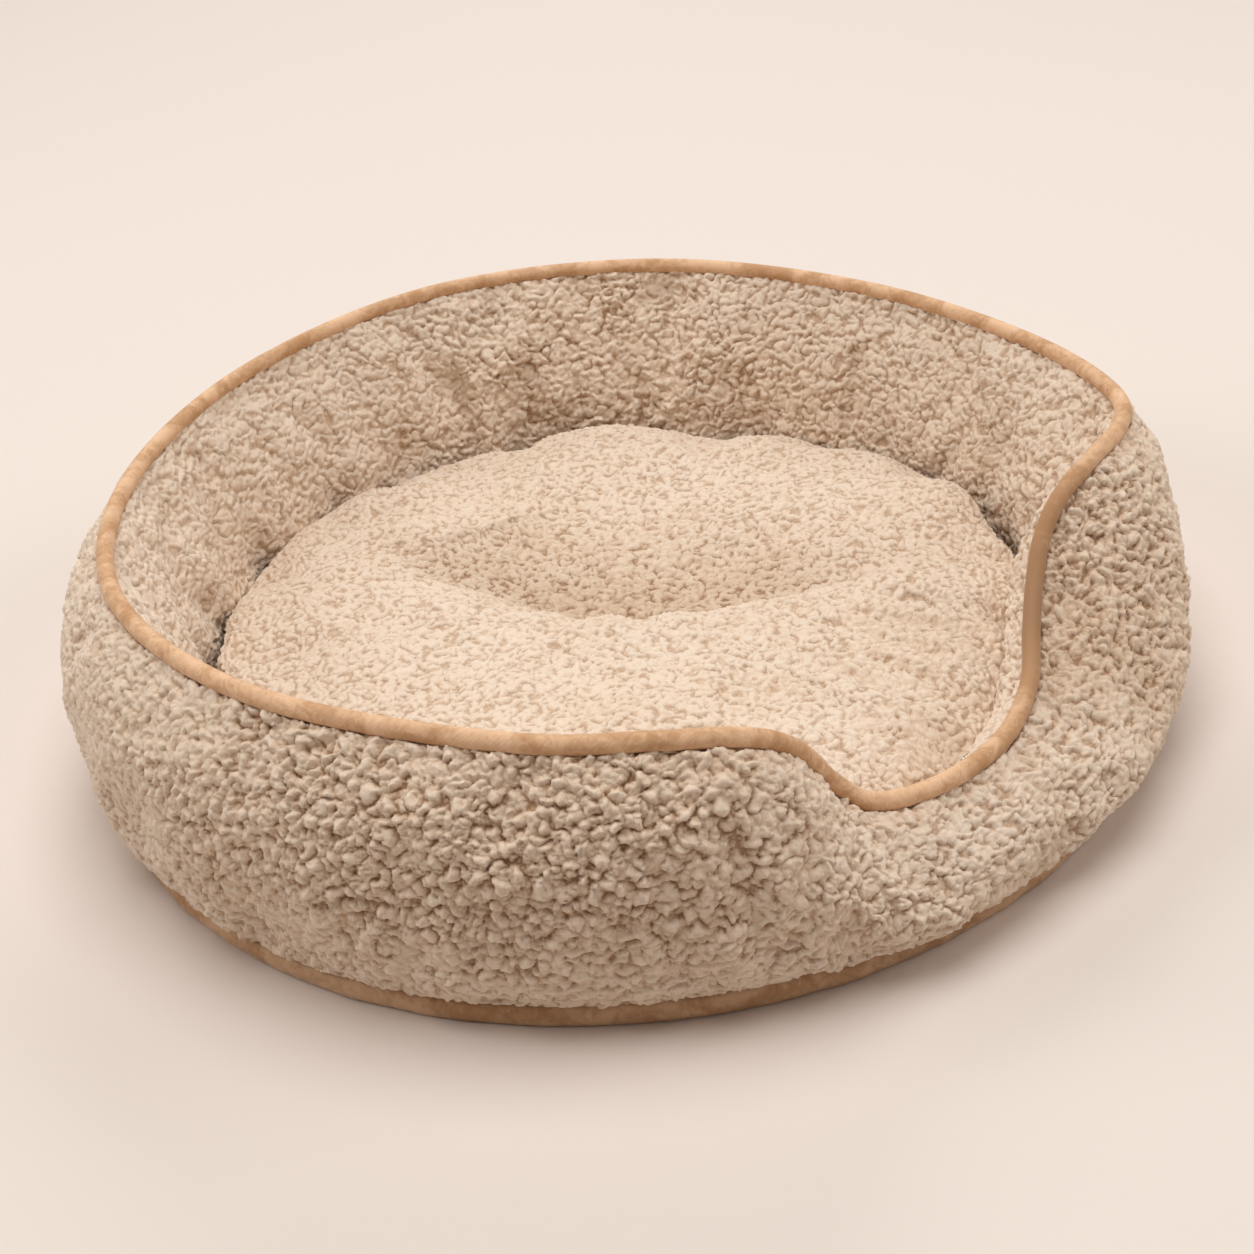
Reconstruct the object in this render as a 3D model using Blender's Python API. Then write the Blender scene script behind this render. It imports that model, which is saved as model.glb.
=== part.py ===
"""Round pet bed: a padded bolster wall with a low entrance, on a flat base, and a loose zipped cushion.

Metres, +Z up. The origin is the centre of the base on the floor, and the entrance faces -Y.
"""
import math

import bmesh
import bpy
from mathutils import Vector

# ---- Driving dimensions ----
MM = 0.001
BASE_RADIUS = 0.300        # outer edge of the base
BASE_HEIGHT = 0.0141       # top of the base assembly
CLEAR = 0.0006             # air between pieces that touch in the real bed
SIDES = 60                 # facets round the turned pieces

# Centre line of the rim piping: angle in degrees from +X, radius, height.
# The rim is nearly level, and dips between 222 and 306 degrees to make the entrance.
RIM_STATIONS = (
    (-30, 0.2886, 0.1398), (0, 0.2829, 0.1416), (30, 0.2865, 0.1473), (60, 0.2859, 0.1509),
    (90, 0.2772, 0.1488), (120, 0.2742, 0.1461), (150, 0.2766, 0.1485), (180, 0.2775, 0.1521),
    (210, 0.2805, 0.1497), (222, 0.2820, 0.1476), (229, 0.2850, 0.1446), (233, 0.2805, 0.1335),
    (236, 0.2745, 0.1170), (239, 0.2715, 0.0960), (243, 0.2730, 0.0795), (250, 0.2760, 0.0750),
    (260, 0.2730, 0.0750), (270, 0.2604, 0.0780), (279, 0.2454, 0.0855), (286, 0.2394, 0.0960),
    (291, 0.2400, 0.1110), (295, 0.2475, 0.1260), (300, 0.2640, 0.1371), (306, 0.2835, 0.1416),
    (312, 0.2925, 0.1425),
)
STATION_SPACING = 0.030    # longest step between two sections of the wall

# Wall
WALL_BULGE = 0.315         # mean radius where the wall is widest
BULGE_SWING = 0.004        # how much wider it is at BULGE_ANGLE, and narrower opposite
BULGE_ANGLE = -40.0
ROUNDNESS = 1.85           # superellipse power of the outer profile
LOWER_TURNS = (0.0, 0.5, 0.85)             # places on its lower quarter, from the base to the bulge
UPPER_TURNS = (0.15, 0.38, 0.6, 0.8, 1.0)  # and on its upper quarter, from the bulge to the piping
WALL_FOOT = 0.2365         # radius of the inner wall where it meets the floor of the bed
FOOT_OVERHANG = 0.0090     # least distance of the rim piping outside that foot
INNER_LEAN = 1.6           # power of the inner profile: over 1 leans out towards the rim
INNER_STEPS = (0.75, 0.5, 0.25, 0.0)       # its places, as shares of its height
COVER_THICKNESS = 0.0030
FILLING_GAP = 0.0055       # from a cover's outer face to the filling

# Rim piping
PIPING_RADIUS = 0.0048
PIPING_CLOTH = 0.0008
PIPING_FLANGE = 0.0080     # depth of the sewn flange below the centre line
FLANGE_HALF = 0.0009       # half of the flange's thickness
SLIT_HALF = 0.0003         # half of the gap between its two layers
CORD_RADIUS = 0.0036
SEAT_SIDE = 0.0060         # the covers' top edges, sideways from the centre line
SEAT_BELOW = 0.0036        # and below it
FILLING_TOP = 0.0200       # the filling's top, below the centre line

# Base
BAND_CLOTH = 0.0012
BAND_TURN_IN = 0.288       # inner radius of the band's turned-in edges
BAND_BULGE = 0.0012
FABRIC_THICKNESS = 0.0012
BASE_DISC_RADIUS = 0.287
PAD_RADIUS = 0.2970
PAD_BOTTOM = 0.0018
PAD_TOP = 0.0125
LINING_THICKNESS = 0.0010

# Cushion
CUSHION_BOTTOM = 0.0147
CUSHION_COVER = 0.0035
CUSHION_CLOTH = 0.0012
CUSHION_SIDE = 0.2222      # outer face of the side band
SIDE_BOTTOM = 0.0165
SIDE_TOP = 0.0395
CUSHION_CROWN = (          # top surface before the dip, from the middle to the edge seam: radius, height
    (0.0, 0.0655), (0.030, 0.0655), (0.060, 0.0655), (0.090, 0.0655), (0.120, 0.0655), (0.150, 0.0652),
    (0.177, 0.0640), (0.200, 0.0605), (0.217, 0.0550), (0.2270, 0.0475), (0.2275, 0.0405),
)
DIP_CENTRE = (0.030, 0.012)
DIP_DEPTH = 0.024
DIP_TOWARDS = 220.0        # side of the dip that drops steeply, in degrees from +X
DIP_STEEP = 0.042          # spread of the dip on that side
DIP_GENTLE = 0.088         # and on the far side
SWELL_ANGLE = -105.0       # the cushion swells out into the entrance, in degrees from +X
SWELL_SPREAD = 22.0
SWELL_DEPTH = 0.014
SWELL_INSIDE = 0.150       # radius inside which the top does not swell
SWELL_OUTSIDE = 0.217      # and outside which it swells fully
CUSHION_FILLING_SIDE = 0.2175

# Zip in the rear of the cushion's side, angles in degrees from +X
ZIP_START = 36.8
ZIP_END = 143.2
ZIP_HEIGHT = 0.0280
ZIP_RADIUS = 0.2218        # centre of tape and coils
TAPE_THICKNESS = 0.0008
COIL_RADIUS = 0.0009
COIL_OFFSET = 0.0015       # each coil row above or below the zip's centre line
TAPE_EDGE = 0.0028
BAND_GAP = 0.2             # from each zip end to the side band, in degrees
STOP_ANGLE = 1.0           # from each zip end to its stops
STOP_HALF = 0.3            # half of a stop's length, in degrees
SLIDER_ANGLE = 139.5       # at rest, at the closed end
SLIDER_LENGTH = 0.009
PULL_LENGTH = 0.0105
PULL_PIVOT_HEIGHT = 0.0009  # above the slider's outer plate


# ---- Materials ----
def finish(name, colour, roughness, metallic=0.0):
    material = bpy.data.materials.new(name)
    material.use_nodes = True
    shader = material.node_tree.nodes["Principled BSDF"]
    shader.inputs["Base Color"].default_value = (*colour, 1.0)
    shader.inputs["Roughness"].default_value = roughness
    shader.inputs["Metallic"].default_value = metallic
    material.diffuse_color = (*colour, 1.0)
    return material


def sherpa(piece):
    return finish(piece + "_sherpa", (0.76, 0.62, 0.49), 0.95)


def suede(piece):
    return finish(piece + "_suede", (0.47, 0.28, 0.14), 0.85)


def fibre(piece):
    return finish(piece + "_fibre", (0.88, 0.87, 0.84), 0.95)


def lining_cloth(piece):
    return finish(piece + "_cloth", (0.58, 0.46, 0.35), 0.90)


def zip_nylon(piece):
    return finish(piece + "_nylon", (0.50, 0.35, 0.22), 0.55)


def zip_metal(piece):
    return finish(piece + "_metal", (0.62, 0.50, 0.34), 0.35, 1.0)


# ---- Mesh helpers ----
def add_object(name, mesh_data, material, smooth_angle=50.0):
    """Closes, orients and shades a bmesh, and puts it in the scene as one named piece."""
    bmesh.ops.recalc_face_normals(mesh_data, faces=mesh_data.faces)
    if mesh_data.calc_volume(signed=True) < 0.0:
        bmesh.ops.reverse_faces(mesh_data, faces=mesh_data.faces)
    mesh = bpy.data.meshes.new(name)
    mesh_data.to_mesh(mesh)
    mesh_data.free()
    mesh.shade_smooth()
    mesh.set_sharp_from_angle(angle=math.radians(smooth_angle))
    mesh.materials.append(material)
    piece = bpy.data.objects.new(name, mesh)
    bpy.context.scene.collection.objects.link(piece)
    return piece


def loft(sections, closed):
    """Skins a list of equal sections. A closed loft is a ring; an open one gets end caps."""
    mesh_data = bmesh.new()
    rows = [[mesh_data.verts.new(point) for point in section] for section in sections]
    count = len(rows[0])
    pairs = list(zip(rows, rows[1:]))
    if closed:
        pairs.append((rows[-1], rows[0]))
    for here, there in pairs:
        for i in range(count):
            j = (i + 1) % count
            mesh_data.faces.new((here[i], here[j], there[j], there[i]))
    if not closed:
        mesh_data.faces.new(rows[0])
        mesh_data.faces.new(rows[-1])
    return mesh_data


def at(angle, radius, height):
    """A point from its angle in radians, radius and height."""
    return Vector((radius * math.cos(angle), radius * math.sin(angle), height))


def ring(profile, sides=SIDES):
    """Turns a closed (radius, height) outline that stays off the axis into a ring."""
    turns = [2.0 * math.pi * i / sides for i in range(sides)]
    return loft([[at(turn, r, z) for r, z in profile] for turn in turns], closed=True)


def arc(profile, start, end, steps):
    """Sweeps a closed (radius, height) outline about Z from start to end, in degrees."""
    turns = [math.radians(start + (end - start) * i / steps) for i in range(steps + 1)]
    return loft([[at(turn, r, z) for r, z in profile] for turn in turns], closed=False)


def dip(x, y):
    """How far the cushion's top sinks at a place: steep on the near side, gentle on the far side."""
    across = Vector((x - DIP_CENTRE[0], y - DIP_CENTRE[1]))
    towards = math.radians(DIP_TOWARDS)
    steep = Vector((math.cos(towards), math.sin(towards)))
    facing = 0.5 + 0.5 * across.dot(steep) / max(across.length, MM)
    spread = DIP_GENTLE + (DIP_STEEP - DIP_GENTLE) * facing
    return DIP_DEPTH * math.exp(-(across.length / spread) ** 2)


def puffed(point):
    """Where a point of the cushion's plain domed top ends up: sunk at the dip, swollen at the entrance."""
    radius = math.hypot(point.x, point.y)
    away = math.degrees(math.atan2(point.y, point.x)) - SWELL_ANGLE
    away = (away + 180.0) % 360.0 - 180.0
    outward = min(max((radius - SWELL_INSIDE) / (SWELL_OUTSIDE - SWELL_INSIDE), 0.0), 1.0)
    above = min((point.z - SIDE_TOP) / (SIDE_TOP - ZIP_HEIGHT), 1.0)
    swell = SWELL_DEPTH * math.exp(-(away / SWELL_SPREAD) ** 2) * outward * above
    grown = 1.0 + swell / max(radius, MM)
    return Vector((point.x * grown, point.y * grown, point.z - dip(point.x, point.y)))


def turned(profile, sides=SIDES, crown=False):
    """Turns a (radius, height) outline that begins and ends on the axis into a closed solid.

    With crown set, its points above the cushion's side strip are puffed.
    """
    mesh_data = bmesh.new()
    bottom = mesh_data.verts.new((0.0, 0.0, profile[0][1]))
    top = mesh_data.verts.new((0.0, 0.0, profile[-1][1]))
    turns = [2.0 * math.pi * i / sides for i in range(sides)]
    rows = [[mesh_data.verts.new(at(turn, r, z)) for turn in turns] for r, z in profile[1:-1]]
    for i in range(sides):
        j = (i + 1) % sides
        mesh_data.faces.new((bottom, rows[0][j], rows[0][i]))
        mesh_data.faces.new((top, rows[-1][i], rows[-1][j]))
        for lower, upper in zip(rows, rows[1:]):
            mesh_data.faces.new((lower[i], lower[j], upper[j], upper[i]))
    if crown:
        for vertex in mesh_data.verts:
            if vertex.co.z > SIDE_TOP:
                vertex.co = puffed(vertex.co)
    return mesh_data


def disc(radius, bottom, top):
    """A flat round layer."""
    return turned([(0.0, bottom), (radius, bottom), (radius, top), (0.0, top)])


def inset(profile, distance):
    """Moves a (radius, height) line sideways, to the left of its direction."""
    moved = []
    last = len(profile) - 1
    for i, (r, z) in enumerate(profile):
        r0, z0 = profile[max(i - 1, 0)]
        r1, z1 = profile[min(i + 1, last)]
        length = math.hypot(r1 - r0, z1 - z0)
        moved.append((r - distance * (z1 - z0) / length, z + distance * (r1 - r0) / length))
    return moved


def circle_points(radius, start, end, steps):
    """Points of a round stretch, angles in degrees."""
    turns = [math.radians(start + (end - start) * i / steps) for i in range(steps + 1)]
    return [(radius * math.cos(turn), radius * math.sin(turn)) for turn in turns]


# ---- Rim path ----
class Station:
    """One section plane of the wall: its place on the rim and the rim's direction there."""

    def __init__(self, point, tangent):
        self.point = point
        self.tangent = tangent.normalized()
        self.angle = math.atan2(point.y, point.x)
        self.radius = math.hypot(point.x, point.y)
        self.height = point.z
        self.side = self.tangent.cross(Vector((0.0, 0.0, 1.0))).normalized()
        self.up = self.side.cross(self.tangent).normalized()
        self.level = max(self.up.z, 0.5)
        self.facing = max(self.side.dot(at(self.angle, 1.0, 0.0)), 0.5)

    def beside(self, sideways, upwards):
        """A point across the rim's own direction: outwards is positive."""
        return self.point + self.side * sideways + self.up * upwards

    def seat(self, sideways, below):
        """The same place as (radius, height), measured in the upright section plane."""
        return self.radius + sideways / self.facing, self.height - below / self.level


def spline_point(before, start, end, after, t):
    """A point and tangent of the smooth curve from start to end (centripetal Catmull-Rom)."""
    knots = [0.0]
    for a, b in ((before, start), (start, end), (end, after)):
        knots.append(knots[-1] + math.sqrt((b - a).length))
    k0, k1, k2, k3 = knots
    span = k2 - k1
    across = (end - start) / span
    out = ((start - before) / (k1 - k0) - (end - before) / (k2 - k0) + across) * span
    into = (across - (after - start) / (k3 - k1) + (after - end) / (k3 - k2)) * span
    t2 = t * t
    t3 = t2 * t
    rise = 3 * t2 - 2 * t3
    point = start * (1 - rise) + end * rise + out * (t3 - 2 * t2 + t) + into * (t3 - t2)
    tangent = (end - start) * (6 * t - 6 * t2) + out * (3 * t2 - 4 * t + 1) + into * (3 * t2 - 2 * t)
    return point, tangent


def rim_path():
    """The closed rim as a list of stations, closer together where it is more curved."""
    marks = [at(math.radians(angle), radius, height) for angle, radius, height in RIM_STATIONS]
    count = len(marks)
    stations = []
    for i in range(count):
        before, start, end, after = (marks[(i + k) % count] for k in (-1, 0, 1, 2))
        steps = math.ceil((end - start).length / STATION_SPACING)
        for step in range(steps):
            stations.append(Station(*spline_point(before, start, end, after, step / steps)))
    return stations


RIM = rim_path()


# ---- Wall ----
def outer_profile(station, bottom):
    """The wall's outer face, from the base up to the piping: (radius, height)."""
    rim_radius, rim_height = station.seat(SEAT_SIDE, SEAT_BELOW)
    swing = math.cos(station.angle - math.radians(BULGE_ANGLE))
    widest = WALL_BULGE + BULGE_SWING * swing
    middle = 0.5 * station.height
    foot = BASE_RADIUS
    power = 2.0 / ROUNDNESS
    points = []
    for t in LOWER_TURNS:
        turn = t * math.pi / 2.0
        points.append((
            foot + (widest - foot) * math.sin(turn) ** power,
            middle - (middle - bottom) * math.cos(turn) ** power,
        ))
    for t in UPPER_TURNS:
        turn = t * math.pi / 2.0
        points.append((
            rim_radius + (widest - rim_radius) * abs(math.cos(turn)) ** power,
            middle + (rim_height - middle) * math.sin(turn) ** power,
        ))
    return points


def inner_profile(station, bottom):
    """The wall's inner face, from a little below the piping down to the floor of the bed."""
    rim_radius, rim_height = station.seat(-SEAT_SIDE, SEAT_BELOW)
    foot = min(WALL_FOOT, station.radius - FOOT_OVERHANG)
    points = []
    for t in INNER_STEPS:
        radius = foot + (rim_radius - foot) * t ** INNER_LEAN
        points.append((radius, bottom + (rim_height - bottom) * t))
    return points


def in_section(station, profile):
    return [at(station.angle, radius, height) for radius, height in profile]


def outer_wall_cover():
    """Sherpa shell outside the wall, sewn between the base band and the rim piping."""
    bottom = BASE_HEIGHT + CLEAR
    sections = []
    for station in RIM:
        face = outer_profile(station, bottom)
        back = inset(face, COVER_THICKNESS)
        back[0] = (back[0][0], bottom)
        sections.append(in_section(station, face + back[::-1]))
    add_object("outer_wall_cover", loft(sections, closed=True), sherpa("outer_wall_cover"))


def inner_wall_cover():
    """Sherpa shell inside the wall, from the rim piping down to the floor of the bed."""
    bottom = BASE_HEIGHT + CLEAR
    sections = []
    for station in RIM:
        face = inner_profile(station, bottom)
        back = inset(face, COVER_THICKNESS)
        back[-1] = (back[-1][0], bottom)
        under = SEAT_SIDE - 0.9 * COVER_THICKNESS
        sections.append(
            [station.beside(-SEAT_SIDE, -SEAT_BELOW), station.beside(-SEAT_SIDE - MM, -PIPING_FLANGE)]
            + in_section(station, face + back[::-1])
            + [station.beside(-under - MM, -PIPING_FLANGE - MM), station.beside(-under, -SEAT_BELOW - MM)]
        )
    add_object("inner_wall_cover", loft(sections, closed=True), sherpa("inner_wall_cover"))


def wall_filling():
    """The fibre stuffing between the two wall covers."""
    bottom = BASE_HEIGHT + CLEAR
    sections = []
    for station in RIM:
        outer = inset(outer_profile(station, bottom), FILLING_GAP)[:-1]
        inner = inset(inner_profile(station, bottom), FILLING_GAP)
        outer[0] = (outer[0][0], bottom)
        inner[-1] = (inner[-1][0], bottom)
        top = station.seat(0.0, FILLING_TOP)
        low = [(r, min(z, top[1] - MM)) for r, z in outer + [top] + inner]
        low[len(outer)] = top
        sections.append(in_section(station, low))
    add_object("wall_filling", loft(sections, closed=True), fibre("wall_filling"))


def rim_piping_sleeve():
    """Bias tape folded round the cord, its two edges hanging down as a sewn flange."""
    hollow = PIPING_RADIUS - PIPING_CLOTH
    outside = math.degrees(math.asin(FLANGE_HALF / PIPING_RADIUS))
    inside = math.degrees(math.asin(SLIT_HALF / hollow))
    outline = [(FLANGE_HALF, -PIPING_FLANGE)]
    outline += circle_points(PIPING_RADIUS, -90.0 + outside, 270.0 - outside, 9)
    outline += [(-FLANGE_HALF, -PIPING_FLANGE), (-SLIT_HALF, -PIPING_FLANGE)]
    outline += circle_points(hollow, 270.0 - inside, -90.0 + inside, 9)
    outline += [(SLIT_HALF, -PIPING_FLANGE)]
    sections = [[station.beside(*point) for point in outline] for station in RIM]
    add_object("rim_piping_sleeve", loft(sections, closed=True), suede("rim_piping_sleeve"))


def rim_piping_cord():
    """The soft filler cord inside the piping."""
    outline = circle_points(CORD_RADIUS, 0.0, 360.0, 8)[:-1]
    sections = [[station.beside(*point) for point in outline] for station in RIM]
    add_object("rim_piping_cord", loft(sections, closed=True), fibre("rim_piping_cord"))


# ---- Base ----
def base_band():
    """Suede strip round the base, its two edges turned in over and under the pad."""
    low = 0.4 * MM
    high = BASE_HEIGHT
    middle = 0.5 * (low + high)
    edge = BASE_RADIUS - BAND_BULGE
    inner = edge - BAND_CLOTH
    outline = (
        (BAND_TURN_IN, low), (edge - MM, low), (edge, low + MM), (BASE_RADIUS, middle),
        (edge, high - MM), (edge - MM, high), (BAND_TURN_IN, high),
        (BAND_TURN_IN, high - LINING_THICKNESS), (inner, high - LINING_THICKNESS),
        (inner + BAND_BULGE, middle),
        (inner, low + LINING_THICKNESS), (BAND_TURN_IN, low + LINING_THICKNESS),
    )
    add_object("base_band", ring(outline), suede("base_band"))


def base_layers():
    """The flat round layers of the base: outer fabric, pad and floor lining."""
    fabric = disc(BASE_DISC_RADIUS, 0.0, FABRIC_THICKNESS)
    add_object("base_fabric", fabric, lining_cloth("base_fabric"))
    pad = disc(PAD_RADIUS, PAD_BOTTOM, PAD_TOP)
    add_object("base_pad", pad, fibre("base_pad"))
    lining = disc(BASE_DISC_RADIUS, BASE_HEIGHT - LINING_THICKNESS, BASE_HEIGHT)
    add_object("floor_lining", lining, lining_cloth("floor_lining"))


# ---- Cushion ----
def cushion_top_cover():
    """Domed sherpa shell with a soft dip near the middle."""
    face = list(CUSHION_CROWN)
    back = inset(face, -CUSHION_COVER)
    back[0] = (0.0, face[0][1] - CUSHION_COVER)
    back[-1] = (face[-1][0] - CUSHION_COVER, face[-1][1])
    cover = turned(back + face[::-1], crown=True)
    add_object("cushion_top_cover", cover, sherpa("cushion_top_cover"))


def cushion_filling():
    """The cushion's fibre stuffing."""
    crown = inset(CUSHION_CROWN, -(CUSHION_COVER + CLEAR))
    crown = [(r, z) for r, z in crown if r < CUSHION_FILLING_SIDE]
    crown[0] = (0.0, crown[0][1])
    bottom = CUSHION_BOTTOM + CUSHION_CLOTH + CLEAR
    outline = [(0.0, bottom), (CUSHION_FILLING_SIDE, bottom), (CUSHION_FILLING_SIDE, SIDE_TOP)]
    filling = turned(outline + crown[::-1], crown=True)
    add_object("cushion_filling", filling, fibre("cushion_filling"))


def cushion_bottom_cover():
    cover = disc(CUSHION_SIDE, CUSHION_BOTTOM, CUSHION_BOTTOM + CUSHION_CLOTH)
    add_object("cushion_bottom_cover", cover, lining_cloth("cushion_bottom_cover"))


def cushion_side_band():
    """The side strip, from one end of the zip round the front to the other."""
    inner = CUSHION_SIDE - CUSHION_CLOTH
    outline = (
        (inner, SIDE_BOTTOM), (CUSHION_SIDE, SIDE_BOTTOM), (CUSHION_SIDE, SIDE_TOP), (inner, SIDE_TOP),
    )
    band = arc(outline, ZIP_END + BAND_GAP, ZIP_START - BAND_GAP + 360.0, 42)
    add_object("cushion_side_band", band, suede("cushion_side_band"))


# ---- Zip ----
def zip_tapes():
    """The zip's two woven tapes, above and below its coils."""
    inner = ZIP_RADIUS - 0.5 * TAPE_THICKNESS
    outer = ZIP_RADIUS + 0.5 * TAPE_THICKNESS
    spans = {
        "zip_tape_upper": (ZIP_HEIGHT + TAPE_EDGE, SIDE_TOP),
        "zip_tape_lower": (SIDE_BOTTOM, ZIP_HEIGHT - TAPE_EDGE),
    }
    for name, (low, high) in spans.items():
        outline = ((inner, low), (outer, low), (outer, high), (inner, high))
        add_object(name, arc(outline, ZIP_START, ZIP_END, 20), lining_cloth(name))


def zip_coils():
    """The two coil rows, one on each tape, as plain rods."""
    start = ZIP_START + 2.0 * STOP_ANGLE
    end = ZIP_END - 2.0 * STOP_ANGLE
    for name, offset in (("zip_coil_upper", COIL_OFFSET), ("zip_coil_lower", -COIL_OFFSET)):
        round_section = circle_points(COIL_RADIUS, 0.0, 360.0, 6)[:-1]
        outline = [(ZIP_RADIUS + r, ZIP_HEIGHT + offset + z) for r, z in round_section]
        add_object(name, arc(outline, start, end, 20), zip_nylon(name))


def zip_stops():
    """One stop across both rows at the closed end, and one on each row at the open end."""
    inner = ZIP_RADIUS - COIL_RADIUS
    outer = ZIP_RADIUS + COIL_RADIUS
    row_low = COIL_OFFSET - COIL_RADIUS
    row_high = COIL_OFFSET + COIL_RADIUS
    stops = {
        "zip_stop_closed_end": (ZIP_END - STOP_ANGLE, -row_high, row_high),
        "zip_stop_open_upper": (ZIP_START + STOP_ANGLE, row_low, row_high),
        "zip_stop_open_lower": (ZIP_START + STOP_ANGLE, -row_high, -row_low),
    }
    for name, (place, low, high) in stops.items():
        bottom = ZIP_HEIGHT + low
        top = ZIP_HEIGHT + high
        outline = ((inner, bottom), (outer, bottom), (outer, top), (inner, top))
        add_object(name, arc(outline, place - STOP_HALF, place + STOP_HALF, 1), zip_metal(name))


def box(name, low, high):
    """A plain box between two corners."""
    mesh_data = bmesh.new()
    bmesh.ops.create_cube(mesh_data, size=1.0)
    low = Vector(low)
    high = Vector(high)
    for vertex in mesh_data.verts:
        for axis in range(3):
            vertex.co[axis] = high[axis] if vertex.co[axis] > 0.0 else low[axis]
    mesh = bpy.data.meshes.new(name)
    mesh_data.to_mesh(mesh)
    mesh_data.free()
    piece = bpy.data.objects.new(name, mesh)
    bpy.context.scene.collection.objects.link(piece)
    return piece


def joined_boxes(name, boxes, material):
    """Boolean union of overlapping boxes. The first is the piece, the others are hidden guides."""
    piece = box(name, *boxes[0])
    piece.data.materials.append(material)
    for number, corners in enumerate(boxes[1:]):
        guide = box(name + "_guide" + str(number), *corners)
        guide.hide_render = True
        guide.display_type = "WIRE"
        guide.parent = piece
        union = piece.modifiers.new("union" + str(number), "BOOLEAN")
        union.operation = "UNION"
        union.solver = "EXACT"
        union.object = guide
    return piece


def zip_slider():
    """Two plates held apart by a thin post between the rows, with a bridge for the pull.

    Modelled about the bed's centre: +X runs out through the slider, -Y is the way it opens.
    """
    plate = 1.0 * MM
    inside = ZIP_RADIUS - 2.6 * MM
    outside = ZIP_RADIUS + 1.6 * MM
    half = 0.5 * SLIDER_LENGTH
    tall = 3.6 * MM
    post = 0.3 * MM
    top = outside + plate
    bridge_low = 1.4 * MM
    bridge_high = 2.1 * MM
    leg_near = 0.9 * MM
    leg_far = 1.7 * MM
    thin = 0.5 * MM
    sunk = 0.3 * MM
    boxes = (
        ((outside, -half, -tall), (top, half, tall)),
        ((inside, -half, -tall), (inside + plate, half, tall)),
        ((inside + sunk, -MM, -post), (outside + sunk, MM, post)),
        ((top - sunk, -leg_far, -thin), (top + bridge_high, -leg_near, thin)),
        ((top - sunk, leg_near, -thin), (top + bridge_high, leg_far, thin)),
        ((top + bridge_low, -leg_far + sunk, -thin), (top + bridge_high - 0.1 * MM, leg_far - sunk, thin)),
    )
    slider = joined_boxes("zip_slider", boxes, zip_metal("zip_slider"))
    slider.location = (0.0, 0.0, ZIP_HEIGHT)
    slider.rotation_euler = (0.0, 0.0, math.radians(SLIDER_ANGLE))


def zip_pull():
    """A flat tab with a square eye that hangs on the slider's bridge. Its origin is the pivot."""
    bar = 0.3 * MM
    eye_half = 1.4 * MM
    rim_half = 2.2 * MM
    eye_end = 2.9 * MM
    boxes = (
        ((-bar, -PULL_LENGTH, -rim_half), (bar, -eye_end, rim_half)),
        ((-bar + 0.02 * MM, -eye_end - bar, eye_half), (bar - 0.02 * MM, bar, rim_half - 0.05 * MM)),
        ((-bar + 0.02 * MM, -eye_end - bar, -rim_half + 0.05 * MM), (bar - 0.02 * MM, bar, -eye_half)),
        ((-bar + 0.04 * MM, -bar, -eye_half - bar), (bar - 0.04 * MM, bar - 0.04 * MM, eye_half + bar)),
    )
    pull = joined_boxes("zip_pull", boxes, zip_metal("zip_pull"))
    plate_face = ZIP_RADIUS + 2.6 * MM
    pull.location = at(math.radians(SLIDER_ANGLE), plate_face + PULL_PIVOT_HEIGHT, ZIP_HEIGHT)
    pull.rotation_euler = (0.0, 0.0, math.radians(SLIDER_ANGLE))


def clear_scene():
    for item in list(bpy.data.objects):
        bpy.data.objects.remove(item, do_unlink=True)


def build():
    clear_scene()
    outer_wall_cover()
    inner_wall_cover()
    wall_filling()
    rim_piping_sleeve()
    rim_piping_cord()
    base_band()
    base_layers()
    cushion_top_cover()
    cushion_filling()
    cushion_bottom_cover()
    cushion_side_band()
    zip_tapes()
    zip_coils()
    zip_stops()
    zip_slider()
    zip_pull()


build()
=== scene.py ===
"""Looks of a round fleece pet bed: a padded wall with suede piping, a base and a loose zipped cushion."""
import math

import bmesh
import bpy
import numpy as np
from mathutils import Matrix, Vector


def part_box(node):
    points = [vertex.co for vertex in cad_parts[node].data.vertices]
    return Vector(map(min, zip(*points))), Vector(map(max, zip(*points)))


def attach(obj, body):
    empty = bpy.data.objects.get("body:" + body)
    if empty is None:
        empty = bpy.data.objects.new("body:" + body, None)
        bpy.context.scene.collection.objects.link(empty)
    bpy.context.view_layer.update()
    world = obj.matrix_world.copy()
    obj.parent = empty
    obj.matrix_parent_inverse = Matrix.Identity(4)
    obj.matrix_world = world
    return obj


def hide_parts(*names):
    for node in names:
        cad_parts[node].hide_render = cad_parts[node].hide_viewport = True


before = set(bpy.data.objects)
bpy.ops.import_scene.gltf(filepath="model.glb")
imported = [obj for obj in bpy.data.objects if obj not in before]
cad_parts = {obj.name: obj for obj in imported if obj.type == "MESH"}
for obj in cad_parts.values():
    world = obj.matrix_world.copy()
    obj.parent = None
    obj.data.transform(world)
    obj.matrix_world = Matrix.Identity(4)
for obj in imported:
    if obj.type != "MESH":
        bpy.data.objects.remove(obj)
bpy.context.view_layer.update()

bl_info = {
    "name": "Round Fleece Pet Bed",
    "version": (1, 0, 0),
    "blender": (4, 5, 0),
    "location": "3D View > Sidebar > Pet Bed",
    "description": "Builds the fleece, suede and zip pieces of a round pet bed on its packed frame",
    "category": "Object",
}

MM = 0.001

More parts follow.
